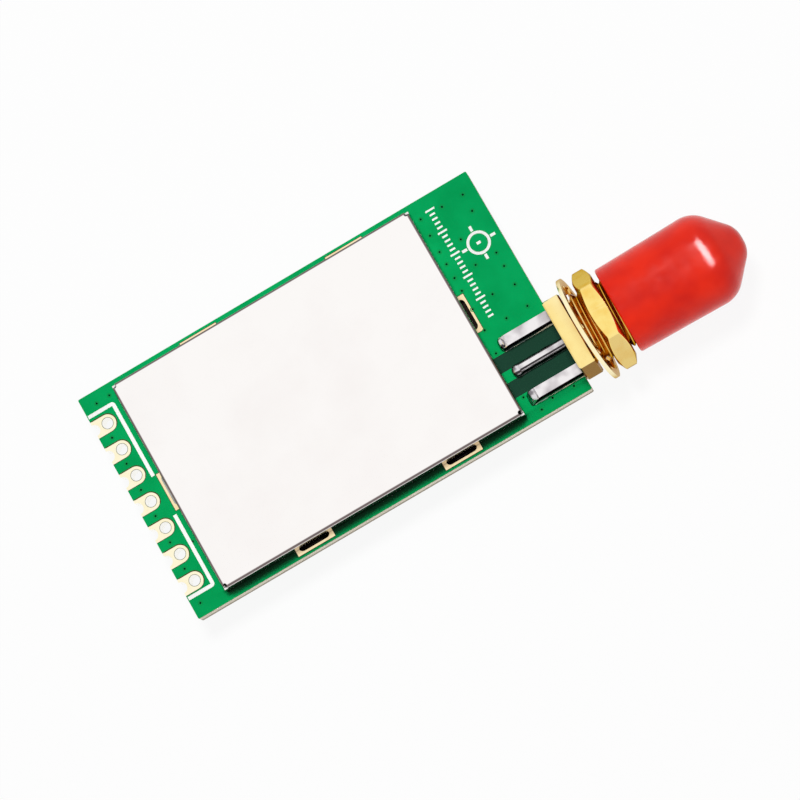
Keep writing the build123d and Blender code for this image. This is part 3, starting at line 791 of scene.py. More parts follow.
def tick_tree() -> Tree:
    """Printed marks at points, every fifth one longer."""
    tree = Tree("ink_ticks", "Width", "Short", "Long", "Thickness")
    width, short, long, thickness = tree.sizes
    index = tree.first("GeometryNodeInputIndex")
    fifth = tree.math("COMPARE", tree.math("MODULO", index, 5.0), 0.0, 0.1)
    length = tree.math("MULTIPLY_ADD", fifth, tree.math("SUBTRACT", long, short), short)
    size = tree.first("ShaderNodeCombineXYZ", X=length, Y=width, Z=thickness)
    block = tree.first("GeometryNodeMeshCube", Size=(1.0, 1.0, 1.0))
    return tree.end(tree.scatter(block, Scale=size))


def ring_tree() -> Tree:
    """Low round rings at points."""
    tree = Tree("rings", "Radius", "Thickness", "Rise")
    radius, thickness, rise = tree.sizes
    path = tree.first("GeometryNodeCurvePrimitiveCircle", Resolution=20, Radius=radius)
    section = tree.first("GeometryNodeCurvePrimitiveCircle", Resolution=8, Radius=1.0)
    spread = tree.first("ShaderNodeCombineXYZ", X=thickness, Y=rise, Z=1.0)
    oval = tree.first("GeometryNodeTransform", Geometry=section, Scale=spread)
    return tree.end(tree.scatter(tree.sweep(path, oval, smooth=True)))


def well_tree() -> Tree:
    """Thin round plugs at points."""
    tree = Tree("wells", "Radius", "Rise")
    radius, rise = tree.sizes
    plug = tree.first("GeometryNodeMeshCylinder", Vertices=16, Radius=radius, Depth=rise)
    return tree.end(tree.scatter(plug))


def thread_tree() -> Tree:
    """A helical ridge about Z, from Z = 0 upwards."""
    tree = Tree("thread", "Root", "Pitch", "Turns", "Crest", "Foot", "Depth")
    root, pitch, turns, crest, foot, depth = tree.sizes
    spiral = tree.first(
        "GeometryNodeCurveSpiral", Resolution=72, Rotations=turns, Start_Radius=root, End_Radius=root,
        Height=tree.math("MULTIPLY", pitch, turns),
    )
    section = tree.first(
        "GeometryNodeCurvePrimitiveQuadrilateral", {"mode": "TRAPEZOID"}, Height=depth,
        Bottom_Width=foot, Top_Width=crest, Offset=0.0,
    )
    turned = tree.first("GeometryNodeTransform", Geometry=section, Rotation=(0.0, 0.0, pi / 2))
    return tree.end(tree.sweep(spiral, turned, smooth=False))


def rounded_outline(corners: Sequence[tuple[float, float, float]], step: float = radians(5)) -> list[Point2]:
    """An outline whose corners are rounded by arcs.

    Args:
        corners: each corner's two places and the radius of its arc, 0 for a sharp one.
        step: the turn from one point of an arc to the next.

    Returns:
        The points of the outline, in order.
    """
    points: list[Point2] = []
    last = len(corners) - 1
    for index, (x, y, radius) in enumerate(corners):
        if radius == 0 or index in (0, last):
            points.append((x, y))
            continue
        here = Vector((x, y))
        back = (Vector(corners[index - 1][:2]) - here).normalized()
        ahead = (Vector(corners[index + 1][:2]) - here).normalized()
        half = acos(max(-1.0, min(1.0, back.dot(ahead)))) / 2
        centre = here + (back + ahead).normalized() * (radius / sin(half))
        start = here + back * (radius / tan(half)) - centre
        turn = pi - 2 * half
        side = 1 if start.x * ahead.y - start.y * ahead.x > 0 else -1
        count = max(2, ceil(turn / step))
        for i in range(count + 1):
            angle = side * turn * i / count
            points.append(tuple(centre + Matrix.Rotation(angle, 2) @ start))
    return points


@dataclass
class Axis:
    """The connector's axis, which runs along +X.

    Attributes:
        y: its place across the board.
        z: its height.
    """

    y: float
    z: float

    def point(self, x: float, radius: float, angle: float) -> Point3:
        """The point at a place along the axis, a distance from it and an angle about it."""
        return (x, self.y + radius * cos(angle), self.z + radius * sin(angle))

    def lathe(self, outline: Sequence[Point2], segments: int,
              ripple: Callable[[float, float], float] | None = None) -> bpy.types.Mesh:
        """Turns an outline about the axis.

        Args:
            outline: places along the axis with their radii, from axis to axis or in a closed loop.
            segments: how many steps a turn has.
            ripple: what is added to the radius at a place and an angle.

        Returns:
            The closed mesh.
        """
        count = len(outline)
        points: list[Point3] = []
        for k in range(segments):
            angle = 2 * pi * k / segments
            for x, radius in outline:
                extra = ripple(x, angle) if ripple and radius > 0 else 0.0
                points.append(self.point(x, radius + extra, angle))
        faces = Workshop.ring_faces(segments, count, closed=True)
        off_axis = [f for f in faces if outline[f[0] % count][1] > 0 or outline[f[1] % count][1] > 0]
        return Workshop.mesh(points, off_axis)


@dataclass
class Board:
    """The board's mask, copper, holes and print, and the painted shade round its contacts and in its slots.

    Attributes:
        ink_thickness: how far the print stands up.
        line: the width of the printed bracket's lines.
        bracket_x: its long line, beside the edge contacts.
        bracket_ends: its two ends across the board.
        bracket_gap: the gap in it, beside the can's land.
        contact_pitch: from one edge contact to the next.
        contact_width: the width of its land.
        contact_shadow: the width of the painted shadow beside it.
        contact_turns: the turn about its hole where that line's arc starts, and how far the arc goes.
        hole_radius: the radius of its hole.
        hole_shadow: the width of the painted shade round the hole's mouth.
        shade_levels: the bottom and top of the painted shade plug in a slot, as shares of the board's
            thickness.
        shade_margin: how far that plug stops short of the land's outline.
        open_slot: how far the slot at the contacts' end reaches, which gets no shade plug, as light comes
            through it.
        via_columns: the places of most vias, in millimetres: each column's X with the Ys in it.
        lone_vias: the places of the others, in millimetres.
        contact_via_x: the X of those between the contacts.
        via_radius: the radius of a via's ring.
        via_ring: how wide the ring is, from its middle line.
        via_well: the radius of the dark hole in it.
        via_rise: how far both stand up.
        scale_x: the printed scale's place along the board.
        scale_start: its first mark across the board.
        scale_pitch: from one mark to the next.
        scale_marks: how many it has.
        mark_width: the width of a mark.
        mark_lengths: the length of a mark, and of every fifth.
        symbol_place: the middle of the printed target.
        symbol_size: its half width.
        symbol_line: the width of its lines.
        symbol_ring: the radius of its ring, as a share of its half width.
        symbol_arms: where its arms start and end, as such shares.
        symbol_dot: half the length of its dot, as such a share.
        lee_inset: how far inside the can's wall the mask's shade starts.
    """

    ink_thickness: float = 0.02 * MM
    line: float = 0.32 * MM
    bracket_x: float = 1.19 * MM
    bracket_ends: Point2 = (8.85 * MM, -8.7 * MM)
    bracket_gap: Point2 = (1.75 * MM, -2.0 * MM)
    contact_pitch: float = 2.54 * MM
    contact_width: float = 1.55 * MM
    contact_shadow: float = 0.09 * MM
    contact_turns: Point2 = (radians(90), radians(-130))
    hole_radius: float = 0.475 * MM
    hole_shadow: float = 0.035 * MM
    shade_levels: Point2 = (0.45, 0.6)
    shade_margin: float = 0.16 * MM
    open_slot: float = 3 * MM
    via_columns: dict[float, tuple[float, ...]] = field(default_factory=lambda: {
        31.1: (9.0, 7.4, 5.8, 4.6, 3.25, 2.0, 0.2, -1.85, -8.35),
        33.15: (9.0, 5.8, 3.3, 0.45, -1.9, -9.6),
        35.15: (9.0, 7.4, 4.65, 3.3, 2.0, 0.2, -1.9, -9.65),
    })
    lone_vias: tuple[Point2, ...] = (
        (30.95, -4.0), (31.9, -10.0), (0.0, 9.55), (1.25, 9.6), (1.44, -4.72), (-0.5, -9.5),
    )
    contact_via_x: float = -0.26 * MM
    via_radius: float = 0.17 * MM
    via_ring: float = 0.04 * MM
    via_well: float = 0.09 * MM
    via_rise: float = 0.008 * MM
    scale_x: float = 32.15 * MM
    scale_start: float = 9.3 * MM
    scale_pitch: float = 0.43 * MM
    scale_marks: int = 25
    mark_width: float = 0.16 * MM
    mark_lengths: Point2 = (0.5 * MM, 0.85 * MM)
    symbol_place: Point2 = (34.3 * MM, 4.8 * MM)
    symbol_size: float = 1.5 * MM
    symbol_line: float = 0.24 * MM
    symbol_ring: float = 0.6
    symbol_arms: Point2 = (0.74, 1.05)
    symbol_dot: float = 0.12
    lee_inset: float = 0.3 * MM

    def __post_init__(self) -> None:
        self.low, self.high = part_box("board")
        self.rows = [k * self.contact_pitch for k in range(-3, 4)]
        self.lines = ink_line_tree()

    def vias(self) -> None:
        """Small plated holes, filled with mask, on both faces."""
        places = [(x * MM, y * MM) for x, column in self.via_columns.items() for y in column]
        places += [(x * MM, y * MM) for x, y in self.lone_vias]
        places += [(self.contact_via_x, row + self.contact_pitch / 2) for row in self.rows[:-1]]
        spots = [(x, y, z) for z in (self.high.z, self.low.z) for x, y in places]
        rings = ring_tree().run(
            point_mesh(spots), VIA_RING.material(), Radius=self.via_radius, Thickness=self.via_ring,
            Rise=self.via_rise,
        )
        wells = well_tree().run(
            point_mesh(spots), VIA_WELL.material(), Radius=self.via_well, Rise=self.via_rise
        )
        Workshop.piece("via_rings", Body.MODULE, rings, slot="solder_mask")
        Workshop.piece("via_wells", Body.MODULE, wells, slot="solder_mask")

    def arc(self, centre: Point2, radius: float, steps: int, start: float = 0.0,
            turn: float = 2 * pi) -> list[Point3]:
        """Points along an arc on the top face.

        Args:
            centre: its centre.
            radius: its radius.
            steps: how many steps it has.
            start: the angle that it starts from.
            turn: how far it goes.

        Returns:
            The points, one more than the steps.
        """
        angles = [start + turn * i / steps for i in range(steps + 1)]
        return [(centre[0] + radius * cos(a), centre[1] + radius * sin(a), self.high.z) for a in angles]

    def bracket(self) -> list[list[Point3]]:
        """The two halves of the printed bracket."""
        edge = self.low.x + self.line / 4
        z = self.high.z
        return [
            [(edge, end, z), (self.bracket_x, end, z), (self.bracket_x, gap, z)]
            for end, gap in zip(self.bracket_ends, self.bracket_gap)
        ]

    def contact_shadow_paths(self) -> list[list[Point3]]:
        """Paths for a painted shadow on the side of each edge contact that the light misses, from its long
        side round its end.
        """
        radius = (self.contact_width + self.contact_shadow / 2) / 2
        start = self.low.x + self.line / 2
        return [
            [(start, row + radius, self.high.z), *self.arc((0.0, row), radius, 14, *self.contact_turns)]
            for row in self.rows
        ]

    def symbol(self) -> list[list[Point3]]:
        """A plain target of a ring, four arms and a dot."""
        x, y = self.symbol_place
        z = self.high.z
        size = self.symbol_size
        arms = [
            [(x + reach * size * way_x, y + reach * size * way_y, z) for reach in self.symbol_arms]
            for way_x, way_y in ((1, 0), (-1, 0), (0, 1), (0, -1))
        ]
        dot = [(x + end * self.symbol_dot * size, y, z) for end in (-1, 1)]
        return [self.arc(self.symbol_place, self.symbol_ring * size, 48), *arms, dot]

    def draw(self, name: str, paths: Iterable[Sequence[Point3]], finish: Finish, width: float,
             thickness: float, corner: float = 0.001 * MM) -> None:
        """Draws lines on the top face.

        Args:
            name: the piece's name.
            paths: where the lines run.
            finish: what they are drawn in.
            width: how wide they are.
            thickness: how thick they lie.
            corner: the rounding of their corners.
        """
        mesh = self.lines.run(
            line_mesh(paths), finish.material(), Width=width, Thickness=thickness, Corner=corner
        )
        Workshop.piece(name, Body.MODULE, mesh)

    def print_ink(self) -> None:
        """The bracket, a plain target and a plain scale, and the painted shadows beside the contacts and
        round their holes.
        """
        ink = self.ink_thickness
        self.draw("printed_bracket", self.bracket(), WHITE_INK, self.line, ink, corner=self.line / 2)
        self.draw("printed_target", self.symbol(), WHITE_INK, self.symbol_line, ink, corner=0.01 * MM)
        marks = [
            (self.scale_x, self.scale_start - i * self.scale_pitch, self.high.z)
            for i in range(self.scale_marks)
        ]
        short, long = self.mark_lengths
        scale = tick_tree().run(
            point_mesh(marks), WHITE_INK.material(), Width=self.mark_width, Short=short, Long=long,
            Thickness=ink,
        )
        Workshop.piece("printed_scale", Body.MODULE, scale)
        # Painted shadows: dark lines beside each edge contact and round each hole's mouth.
        self.draw("painted_contact_shadows", self.contact_shadow_paths(), PAD_SHADOW, self.contact_shadow, ink / 2)
        mouth = self.hole_radius + self.hole_shadow / 2
        mouths = [self.arc((0.0, row), mouth, 32) for row in self.rows]
        self.draw("painted_hole_shadows", mouths, PAD_SHADOW, self.hole_shadow, ink / 2)

    def shade_slots(self) -> None:
        """A dark plug low in the slots, painted shade, in all but the one at the contacts' end."""
        bottom, top = (share * self.high.z for share in self.shade_levels)
        work = bmesh.new()
        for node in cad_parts:
            low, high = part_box(node)
            if not node.startswith("can_land") or low.x < self.open_slot:
                continue
            gap = 2 * self.shade_margin
            size = (high.x - low.x - gap, high.y - low.y - gap, top - bottom)
            middle = ((low.x + high.x) / 2, (low.y + high.y) / 2, (bottom + top) / 2)
            bmesh.ops.create_cube(work, size=1.0, matrix=Matrix.LocRotScale(middle, None, size))
        Workshop.piece("slot_shade", Body.MODULE, Workshop.ended(work), SLOT_SHADE)

    def build(self) -> None:
        """Dresses the board and its copper."""
        can_low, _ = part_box("shield_can")
        lee = can_low.y + self.lee_inset
        Workshop.dress("board", BoardFinish("solder_mask", self.high.z - self.low.z, lee))
        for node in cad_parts:
            if node.startswith("edge_contact") or node in ("ground_lands", "signal_land"):
                Workshop.dress(node, GOLD_LAND)
            elif node.startswith("can_land"):
                Workshop.dress(node, SLOT_LAND)
        self.vias()
        self.print_ink()
        self.shade_slots()


@dataclass
class ShieldCan:
    """The folded can.

    Attributes:
        edge: the rounding of its cut edges.
    """

    edge: float = 0.03 * MM

    def build(self) -> None:
        """Softens the cut edges of the sheet."""
        can = Workshop.piece(
            "folded_can", Body.MODULE, Workshop.copy_of("shield_can"), CAN_SHEET, replaces=["shield_can"],
            slot="can_sheet",
        )
        Workshop.soften(can, self.edge, 35.0)


@dataclass
class AerialConnector:
    """The connector's body with its thread, insulator and contact.

    Attributes:
        axis: the connector's axis.
        radius: the barrel's radius over its thread.
        flange_depth: how thick the flange is.
        pitch: the thread's pitch.
        thread_depth: how deep it is.
        thread_start: how far from the flange it starts.
        thread_stop: how far from the barrel's mouth it stops.
        crest_share: the width of its crest, as a share of the pitch.
        foot_share: the width of its foot, as a share of the pitch.
        edge: the rounding of the body's edges.
        slack: how far from a place a point may lie to count as there.
    """

    axis: Axis
    radius: float = 3.175 * MM
    flange_depth: float = 1.55 * MM
    pitch: float = 25.4 / 36 * MM
    thread_depth: float = 0.4 * MM
    thread_start: float = 0.3 * MM
    thread_stop: float = 0.35 * MM
    crest_share: float = 0.14
    foot_share: float = 0.9
    edge: float = 0.05 * MM
    slack: float = 0.01 * MM

    def __post_init__(self) -> None:
        self.low, self.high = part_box("connector_body")
        self.board_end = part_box("board")[1].x
        self.root = self.radius - self.thread_depth
        self.flange_front = self.board_end + self.flange_depth

    def body(self) -> None:
        """Flange, legs and the barrel's core, gold in front and tinned behind."""
        mesh = Workshop.copy_of("connector_body")
        for vertex in mesh.vertices:
            out = Vector((vertex.co.y - self.axis.y, vertex.co.z - self.axis.z))
            on_barrel = vertex.co.x > self.flange_front - self.slack
            if on_barrel and self.root < out.length < self.radius * 1.01:
                out *= self.root / out.length
                vertex.co.y, vertex.co.z = self.axis.y + out.x, self.axis.z + out.y
        piece = Workshop.piece(
            "threaded_body", Body.MODULE, mesh, GOLD_PLATE, TIN, replaces=["connector_body"],
            slot="gold_plate",
        )
        for face in mesh.polygons:
            face.material_index = int(face.center.x < self.board_end - 2 * self.slack)
        Workshop.soften(piece, self.edge, 30.0)

    def thread(self) -> None:
        """The ridge of the thread, from beside the flange to the barrel's chamfer."""
        start = self.flange_front + self.thread_start
        turns = (self.high.x - self.thread_stop - start) / self.pitch
        mesh = thread_tree().run(
            point_mesh([(0, 0, 0)]), GOLD_PLATE.material(), Root=self.root + self.thread_depth / 2,
            Pitch=self.pitch, Turns=turns, Crest=self.pitch * self.crest_share,
            Foot=self.pitch * self.foot_share, Depth=self.thread_depth,
        )
        place = Matrix.Translation((start, self.axis.y, self.axis.z))
        mesh.transform(place @ Matrix.Rotation(pi / 2, 4, "Y"))
        Workshop.piece("barrel_thread", Body.MODULE, mesh, slot="gold_plate")

    def build(self) -> None:
        """Makes the body and its thread, and dresses what lies inside."""
        self.body()
        self.thread()
        Workshop.dress("connector_insulator", INSULATOR)
        Workshop.dress("centre_contact", TIN)


@dataclass
class SolderJoints:
    """Solder that climbs the sides of the legs and the tail, with a lump over three of the tips.

    Attributes:
        axis: the connector's axis.
        leg_row: how far a leg stands from the axis across the board.
        leg: the length, width and height of a leg.
        tail: the same of the contact's tail.
        climb: how far up a leg's side the solder reaches, as a share of its height.
        tail_climb: the same on the tail.
        film: how thick it lies against a leg.
        foot: how far its skirt spreads past the leg at the board.
        beyond: how far it runs past the leg's tip.
        overlap: how far before the tip it starts to close.
        leg_blob: the half length, half width and height of the lump on one leg's tip.
        leg_blob_back: how far before the tip its middle stands.
        tail_blob: the same as leg_blob, on the tail.
        tail_blob_back: how far before the tail's tip its middle stands.
        wedge_corners: the corners of the other leg's lump: millimetres before the tip, then shares of the
            leg's half width and of its height.
        wedge_edge: the rounding of that lump's edges.
        skirt_powers: how fast its skirt narrows and rises.
        waves: the widths of its slow and quick waves, and the share of its height that each adds.
        stations: how many cross-sections a bead has.
        skirt_steps: how many steps a side of one has.
    """

    axis: Axis
    leg_row: float = 2.54 * MM
    leg: Point3 = (4.7 * MM, 0.95 * MM, 0.94 * MM)
    tail: Point3 = (4.8 * MM, 0.78 * MM, 0.8 * MM)
    climb: float = 0.62
    tail_climb: float = 0.66
    film: float = 0.02 * MM
    foot: float = 0.17 * MM
    beyond: float = 0.17 * MM
    overlap: float = 0.12 * MM
    leg_blob: Point3 = (0.3 * MM, 0.52 * MM, 0.93 * MM)
    leg_blob_back: float = 0.16 * MM
    tail_blob: Point3 = (0.5 * MM, 0.49 * MM, 0.87 * MM)
    tail_blob_back: float = 0.3 * MM
    wedge_corners: tuple[Point3, ...] = (
        (0.55, 1.02, 1.03), (0.55, -1.02, 1.03), (0.05, 0.84, 0.98), (0.12, -0.7, 0.96), (0.62, 1.1, 0.4),
        (0.62, -1.1, 0.4), (-0.16, 0.9, 0.5), (-0.1, -0.8, 0.55), (0.66, 1.2, 0.0), (0.66, -1.2, 0.0),
        (-0.26, 0.86, 0.0), (-0.3, -1.36, 0.0), (-0.3, 0.1, 0.0), (0.66, 1.0, 0.9), (0.66, -1.0, 0.9),
    )
    wedge_edge: float = 0.035 * MM
    skirt_powers: Point2 = (2.4, 1.15)
    waves: tuple[Point2, Point2] = ((1.1 * MM, 0.12), (0.4 * MM, 0.03))
    stations: int = 90
    skirt_steps: int = 8

    def __post_init__(self) -> None:
        self.low, self.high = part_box("board")

    def section(self, width: float, height: float, foot: float) -> list[Point2]:
        """One cross-section: a hollow skirt up each side, closed inside the leg."""
        left = []
        narrow, steep = self.skirt_powers
        for i in range(self.skirt_steps + 1):
            rise = i / self.skirt_steps
            out = foot * (1 - rise) ** narrow + self.film * (1 - 2 * rise ** 4)
            left.append((-width / 2 - out, height * rise ** steep))
        return left + [(-y, z) for y, z in reversed(left)]

    def bead(self, row: float, face: Face, size: Point3, climb: float, seed: float) -> bpy.types.Mesh:
        """The solder along one leg.

        Args:
            row: the leg's place across the board.
            face: the board's face that it lies on.
            size: the leg's length, width and height.
            climb: the share of its height that the solder reaches.
            seed: what makes its surface differ from the next one's.

        Returns:
            The closed mesh.
        """
        length, width, height = size
        total = length + self.beyond
        level = self.high.z if face is Face.TOP else self.low.z
        (slow_width, slow_share), (quick_width, quick_share) = self.waves
        points: list[Point3] = []
        for s in range(self.stations + 1):
            along = total * s / self.stations
            past = max(0.0, (along - length + self.overlap) / (self.beyond + self.overlap))
            close = max(0.02, 1 - min(1.0, past) ** 2.2) ** 0.5
            slow = noise.noise(Vector((along / slow_width, seed, 0.0)))
            quick = noise.noise(Vector((along / quick_width, seed, 5.0)))
            up = height * (climb + slow_share * slow + quick_share * quick) * close
            foot = self.foot * (0.75 + 0.5 * slow + 0.2 * along / total) * close
            for y, z in self.section(width * (0.5 + 0.5 * close), up, foot):
                points.append((self.high.x - along, row + y, level + face.value * z))
        count = len(points) // (self.stations + 1)
        faces = Workshop.ring_faces(self.stations + 1, count, closed=False)
        faces += [tuple(range(count)), tuple(self.stations * count + i for i in range(count))]
        return Workshop.mesh(points, faces)

    def blob(self, x: float, row: float, size: Point3, seed: float) -> bpy.types.Mesh:
        """A lump of solder that set about a tip, flat where it meets the board.

        Args:
            x: its middle along the board.
            row: its middle across the board.
            size: its half length, half width and height.
            seed: what makes its surface differ from the next one's.

        Returns:
            The closed mesh.
        """
        work = bmesh.new()
        bmesh.ops.create_icosphere(work, subdivisions=5, radius=1.0)
        for vertex in work.verts:
            swell = 1 + 0.05 * noise.noise(vertex.co * 1.6 + Vector((seed, 0.0, 0.0)))
            along, across, up = vertex.co * swell
            rise = max(0.0, size[2] * (0.5 + 0.5 * up))
            vertex.co = (x + along * size[0], row + across * size[1], self.high.z + rise)
        return Workshop.ended(work)

    def wedge(self, tip: float, row: float) -> bpy.types.Mesh:
        """A lump that set in flat facets over a leg's tip, with a pointed foot.

        Args:
            tip: the leg's tip along the board.
            row: its place across the board.

        Returns:
            The closed mesh.
        """
        _, width, height = self.leg
        work = bmesh.new()
        for along, across, up in self.wedge_corners:
            work.verts.new((tip + along * MM, row + across * width / 2, self.high.z + up * height))
        bmesh.ops.convex_hull(work, input=work.verts)
        bmesh.ops.bevel(work, geom=list(work.edges), offset=self.wedge_edge, segments=2, affect="EDGES")
        return Workshop.ended(work)

    @staticmethod
    def joined(parts: Iterable[bpy.types.Mesh]) -> bpy.types.Mesh:
        """Several meshes as one."""
        work = bmesh.new()
        for part in parts:
            work.from_mesh(part)
        return Workshop.ended(work)

    def build(self) -> None:
        """Makes the solder of the four legs and of the tail."""
        rows = (self.axis.y - self.leg_row, self.axis.y + self.leg_row)
        seats = [(row, face) for face in Face for row in rows]
        beads = [
            self.bead(row, face, self.leg, self.climb, 3.1 * (i + 1)) for i, (row, face) in enumerate(seats)
        ]
        tip = self.high.x - self.leg[0]
        blob = self.blob(tip + self.leg_blob_back, rows[1], self.leg_blob, 4.0)
        joints = self.joined([*beads, blob, self.wedge(tip, rows[0])])
        joints.set_sharp_from_angle(angle=radians(30))
        Workshop.piece("leg_joints", Body.MODULE, joints, SOLDER, replaces=["leg_solder"], slot="solder")
        bead = self.bead(self.axis.y, Face.TOP, self.tail, self.tail_climb, 20.0)
        tip = self.high.x - self.tail[0]
        blob = self.blob(tip + self.tail_blob_back, self.axis.y, self.tail_blob, 9.0)
        joint = self.joined([bead, blob])
        Workshop.piece("tail_joint", Body.MODULE, joint, SOLDER, replaces=["tail_solder"], slot="solder")


@dataclass
class LockWasher:
    """The toothed washer.

    Attributes:
        edge: the rounding of its edges.
    """

    edge: float = 0.05 * MM

    def build(self) -> None:
        """Softens the edges of the ring and its teeth."""
        washer = Workshop.piece(
            "toothed_washer", Body.WASHER, Workshop.copy_of("lock_washer"), WASHER_PLATE,
            replaces=["lock_washer"], slot="gold_plate",
        )
        Workshop.soften(washer, self.edge, 30.0)


@dataclass
class HexNut:
    """The nut, turned off at both faces so that each flat ends in a curve.

    Attributes:
        axis: the connector's axis.
        bore: the radius of its bore.
        bore_chamfer: the chamfer at the bore's mouths.
        chamfer: the angle at which its corners are turned off.
        face_share: the radius of its round faces, as a share of the half width over its flats.
        corner_cut: how much is worn off its corners.
        steps: how many steps a flat has.
        edge: the rounding of its edges.
    """

    axis: Axis
    bore: float = 3.2 * MM
    bore_chamfer: float = 0.12 * MM
    chamfer: float = radians(25)
    face_share: float = 0.94
    corner_cut: float = 0.018 * MM
    steps: int = 32
    edge: float = 0.05 * MM

    def __post_init__(self) -> None:
        self.low, self.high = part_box("hex_nut")
        self.flat = (self.high.z - self.low.z) / 2

    def rim(self, turn: float) -> float:
        """The radius of the hexagon at a turn from the middle of a flat, with its corners worn a little."""
        off = (turn + pi / 6) % (pi / 3) - pi / 6
        return min(self.flat / cos(off), self.flat / cos(pi / 6) - self.corner_cut)

    def build(self) -> None:
        """Makes the nut from rings of points that follow its flats and chamfers."""
        face = self.flat * self.face_share
        mouth = self.bore + self.bore_chamfer
        start, end = self.low.x, self.high.x
        points: list[Point3] = []
        count = 6 * self.steps
        for k in range(count):
            turn = 2 * pi * k / count
            rim = self.rim(turn)
            cut = (rim - face) * tan(self.chamfer)
            ring = [
                (start + self.bore_chamfer, self.bore), (start, mouth), (start, face), (start + cut, rim),
                (end - cut, rim), (end, face), (end, mouth), (end - self.bore_chamfer, self.bore),
            ]
            points.extend(self.axis.point(x, radius, pi / 2 + turn) for x, radius in ring)
        mesh = Workshop.mesh(points, Workshop.ring_faces(count, len(ring), closed=True))
        nut = Workshop.piece(
            "chamfered_nut", Body.NUT, mesh, GOLD_PLATE, replaces=["hex_nut"], slot="gold_plate"
        )
        Workshop.soften(nut, self.edge, 14.0, segments=3)


@dataclass
class DustCap:
    """The vinyl cap: a sleeve that flares to its shoulder, and a blunt cone nose.

    Attributes:
        axis: the connector's axis.
        bore: the radius of its cavity.
        wall: its thickness at the mouth.
        rim_round: the rounding of the mouth's rim.
        shoulder_round: the rounding of the shoulder.
        nose: the length of the nose, from the shoulder.
        tip_radius: the radius where the nose's cone meets its end.
        tip_round: the rounding there.
        cavity: the depth of the cavity's straight part.
        cavity_cone: the length of its cone.
        cavity_tip: the radius of the cone's end.
        cavity_rounds: the rounding of the cone's end and of its start.
        step_share: the longest step along the skin, as a share of the shoulder's radius.
        waviness: how uneven the skin is.
        segments: how many steps a turn has.
    """

    axis: Axis
    bore: float = 3.25 * MM
    wall: float = 0.62 * MM
    rim_round: float = 0.2 * MM
    shoulder_round: float = 2.5 * MM
    nose: float = 2.69 * MM
    tip_radius: float = 1.05 * MM
    tip_round: float = 2.1 * MM
    cavity: float = 8.55 * MM
    cavity_cone: float = 2.4 * MM
    cavity_tip: float = 0.8 * MM
    cavity_rounds: Point2 = (0.3 * MM, 0.5 * MM)
    step_share: float = 0.3
    waviness: float = 0.02 * MM
    segments: int = 128

    def __post_init__(self) -> None:
        self.low, self.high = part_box("dust_cap")
        self.shoulder = (self.high.z - self.low.z) / 2 + self.waviness

    def ripple(self, x: float, angle: float) -> float:
        """The slight unevenness of a dipped skin."""
        where = Vector((x / (4 * MM), cos(angle) * 1.2, sin(angle) * 1.2))
        return (noise.noise(where) - 0.6) * self.waviness

    def skin(self) -> list[Point2]:
        """The outline of the outside, from the rim to the tip, in short steps."""
        start, end = self.low.x, self.high.x
        mouth = self.bore + self.wall
        outline = rounded_outline([
            (start, self.bore + self.rim_round, 0), (start, mouth, self.rim_round),
            (end - self.nose, self.shoulder, self.shoulder_round), (end, self.tip_radius, self.tip_round),
            (end, 0.0, 0),
        ])
        points: list[Point2] = []
        for a, b in zip(outline, outline[1:]):
            steps = max(1, ceil(hypot(b[0] - a[0], b[1] - a[1]) / (self.shoulder * self.step_share)))
            points.extend((a[0] + (b[0] - a[0]) * i / steps, a[1] + (b[1] - a[1]) * i / steps)
                          for i in range(steps))
        return [*points, outline[-1]]

    def inside(self) -> list[Point2]:
        """The outline of the cavity, from its end back to the rim."""
        start, depth = self.low.x, self.low.x + self.cavity
        end_round, start_round = self.cavity_rounds
        return rounded_outline([
            (depth + self.cavity_cone, 0.0, 0), (depth + self.cavity_cone, self.cavity_tip, end_round),
            (depth, self.bore, start_round), (start + self.rim_round, self.bore, 0),
            (start, self.bore + self.rim_round, 0),
        ])

    def build(self) -> bpy.types.Object:
        """Turns the outline of the skin and its cavity.

        Returns:
            The cap.
        """
        mesh = self.axis.lathe(self.skin() + self.inside()[:-1], self.segments, self.ripple)
        return Workshop.piece("vinyl_cap", Body.CAP, mesh, RED_VINYL, replaces=["dust_cap"], slot="red_vinyl")


@dataclass
class Chips:
    """What lies under the can.

    Attributes:
        finishes: the finish of each kind of chip.
    """

    finishes: dict[str, Finish] = field(default_factory=lambda: {
        "transceiver_chip": MOULDING, "microcontroller": MOULDING, "rf_switch": MOULDING,
        "voltage_regulator": MOULDING, "crystal": CAN_SHEET, "chip_capacitors": CERAMIC,
        "chip_resistors": MOULDING, "chip_inductors": CERAMIC,
    })

    def build(self) -> None:
        """Dresses each chip."""
        for node, finish in self.finishes.items():
            Workshop.dress(node, finish)


@dataclass(frozen=True)
class Lamp:
    """A soft lamp that faces the module.

    Attributes:
        name: its name.
        place: where it hangs.
        size: its two sides.
        power: its strength in watts.
    """

    name: str
    place: Point3
    size: Point2
    power: float


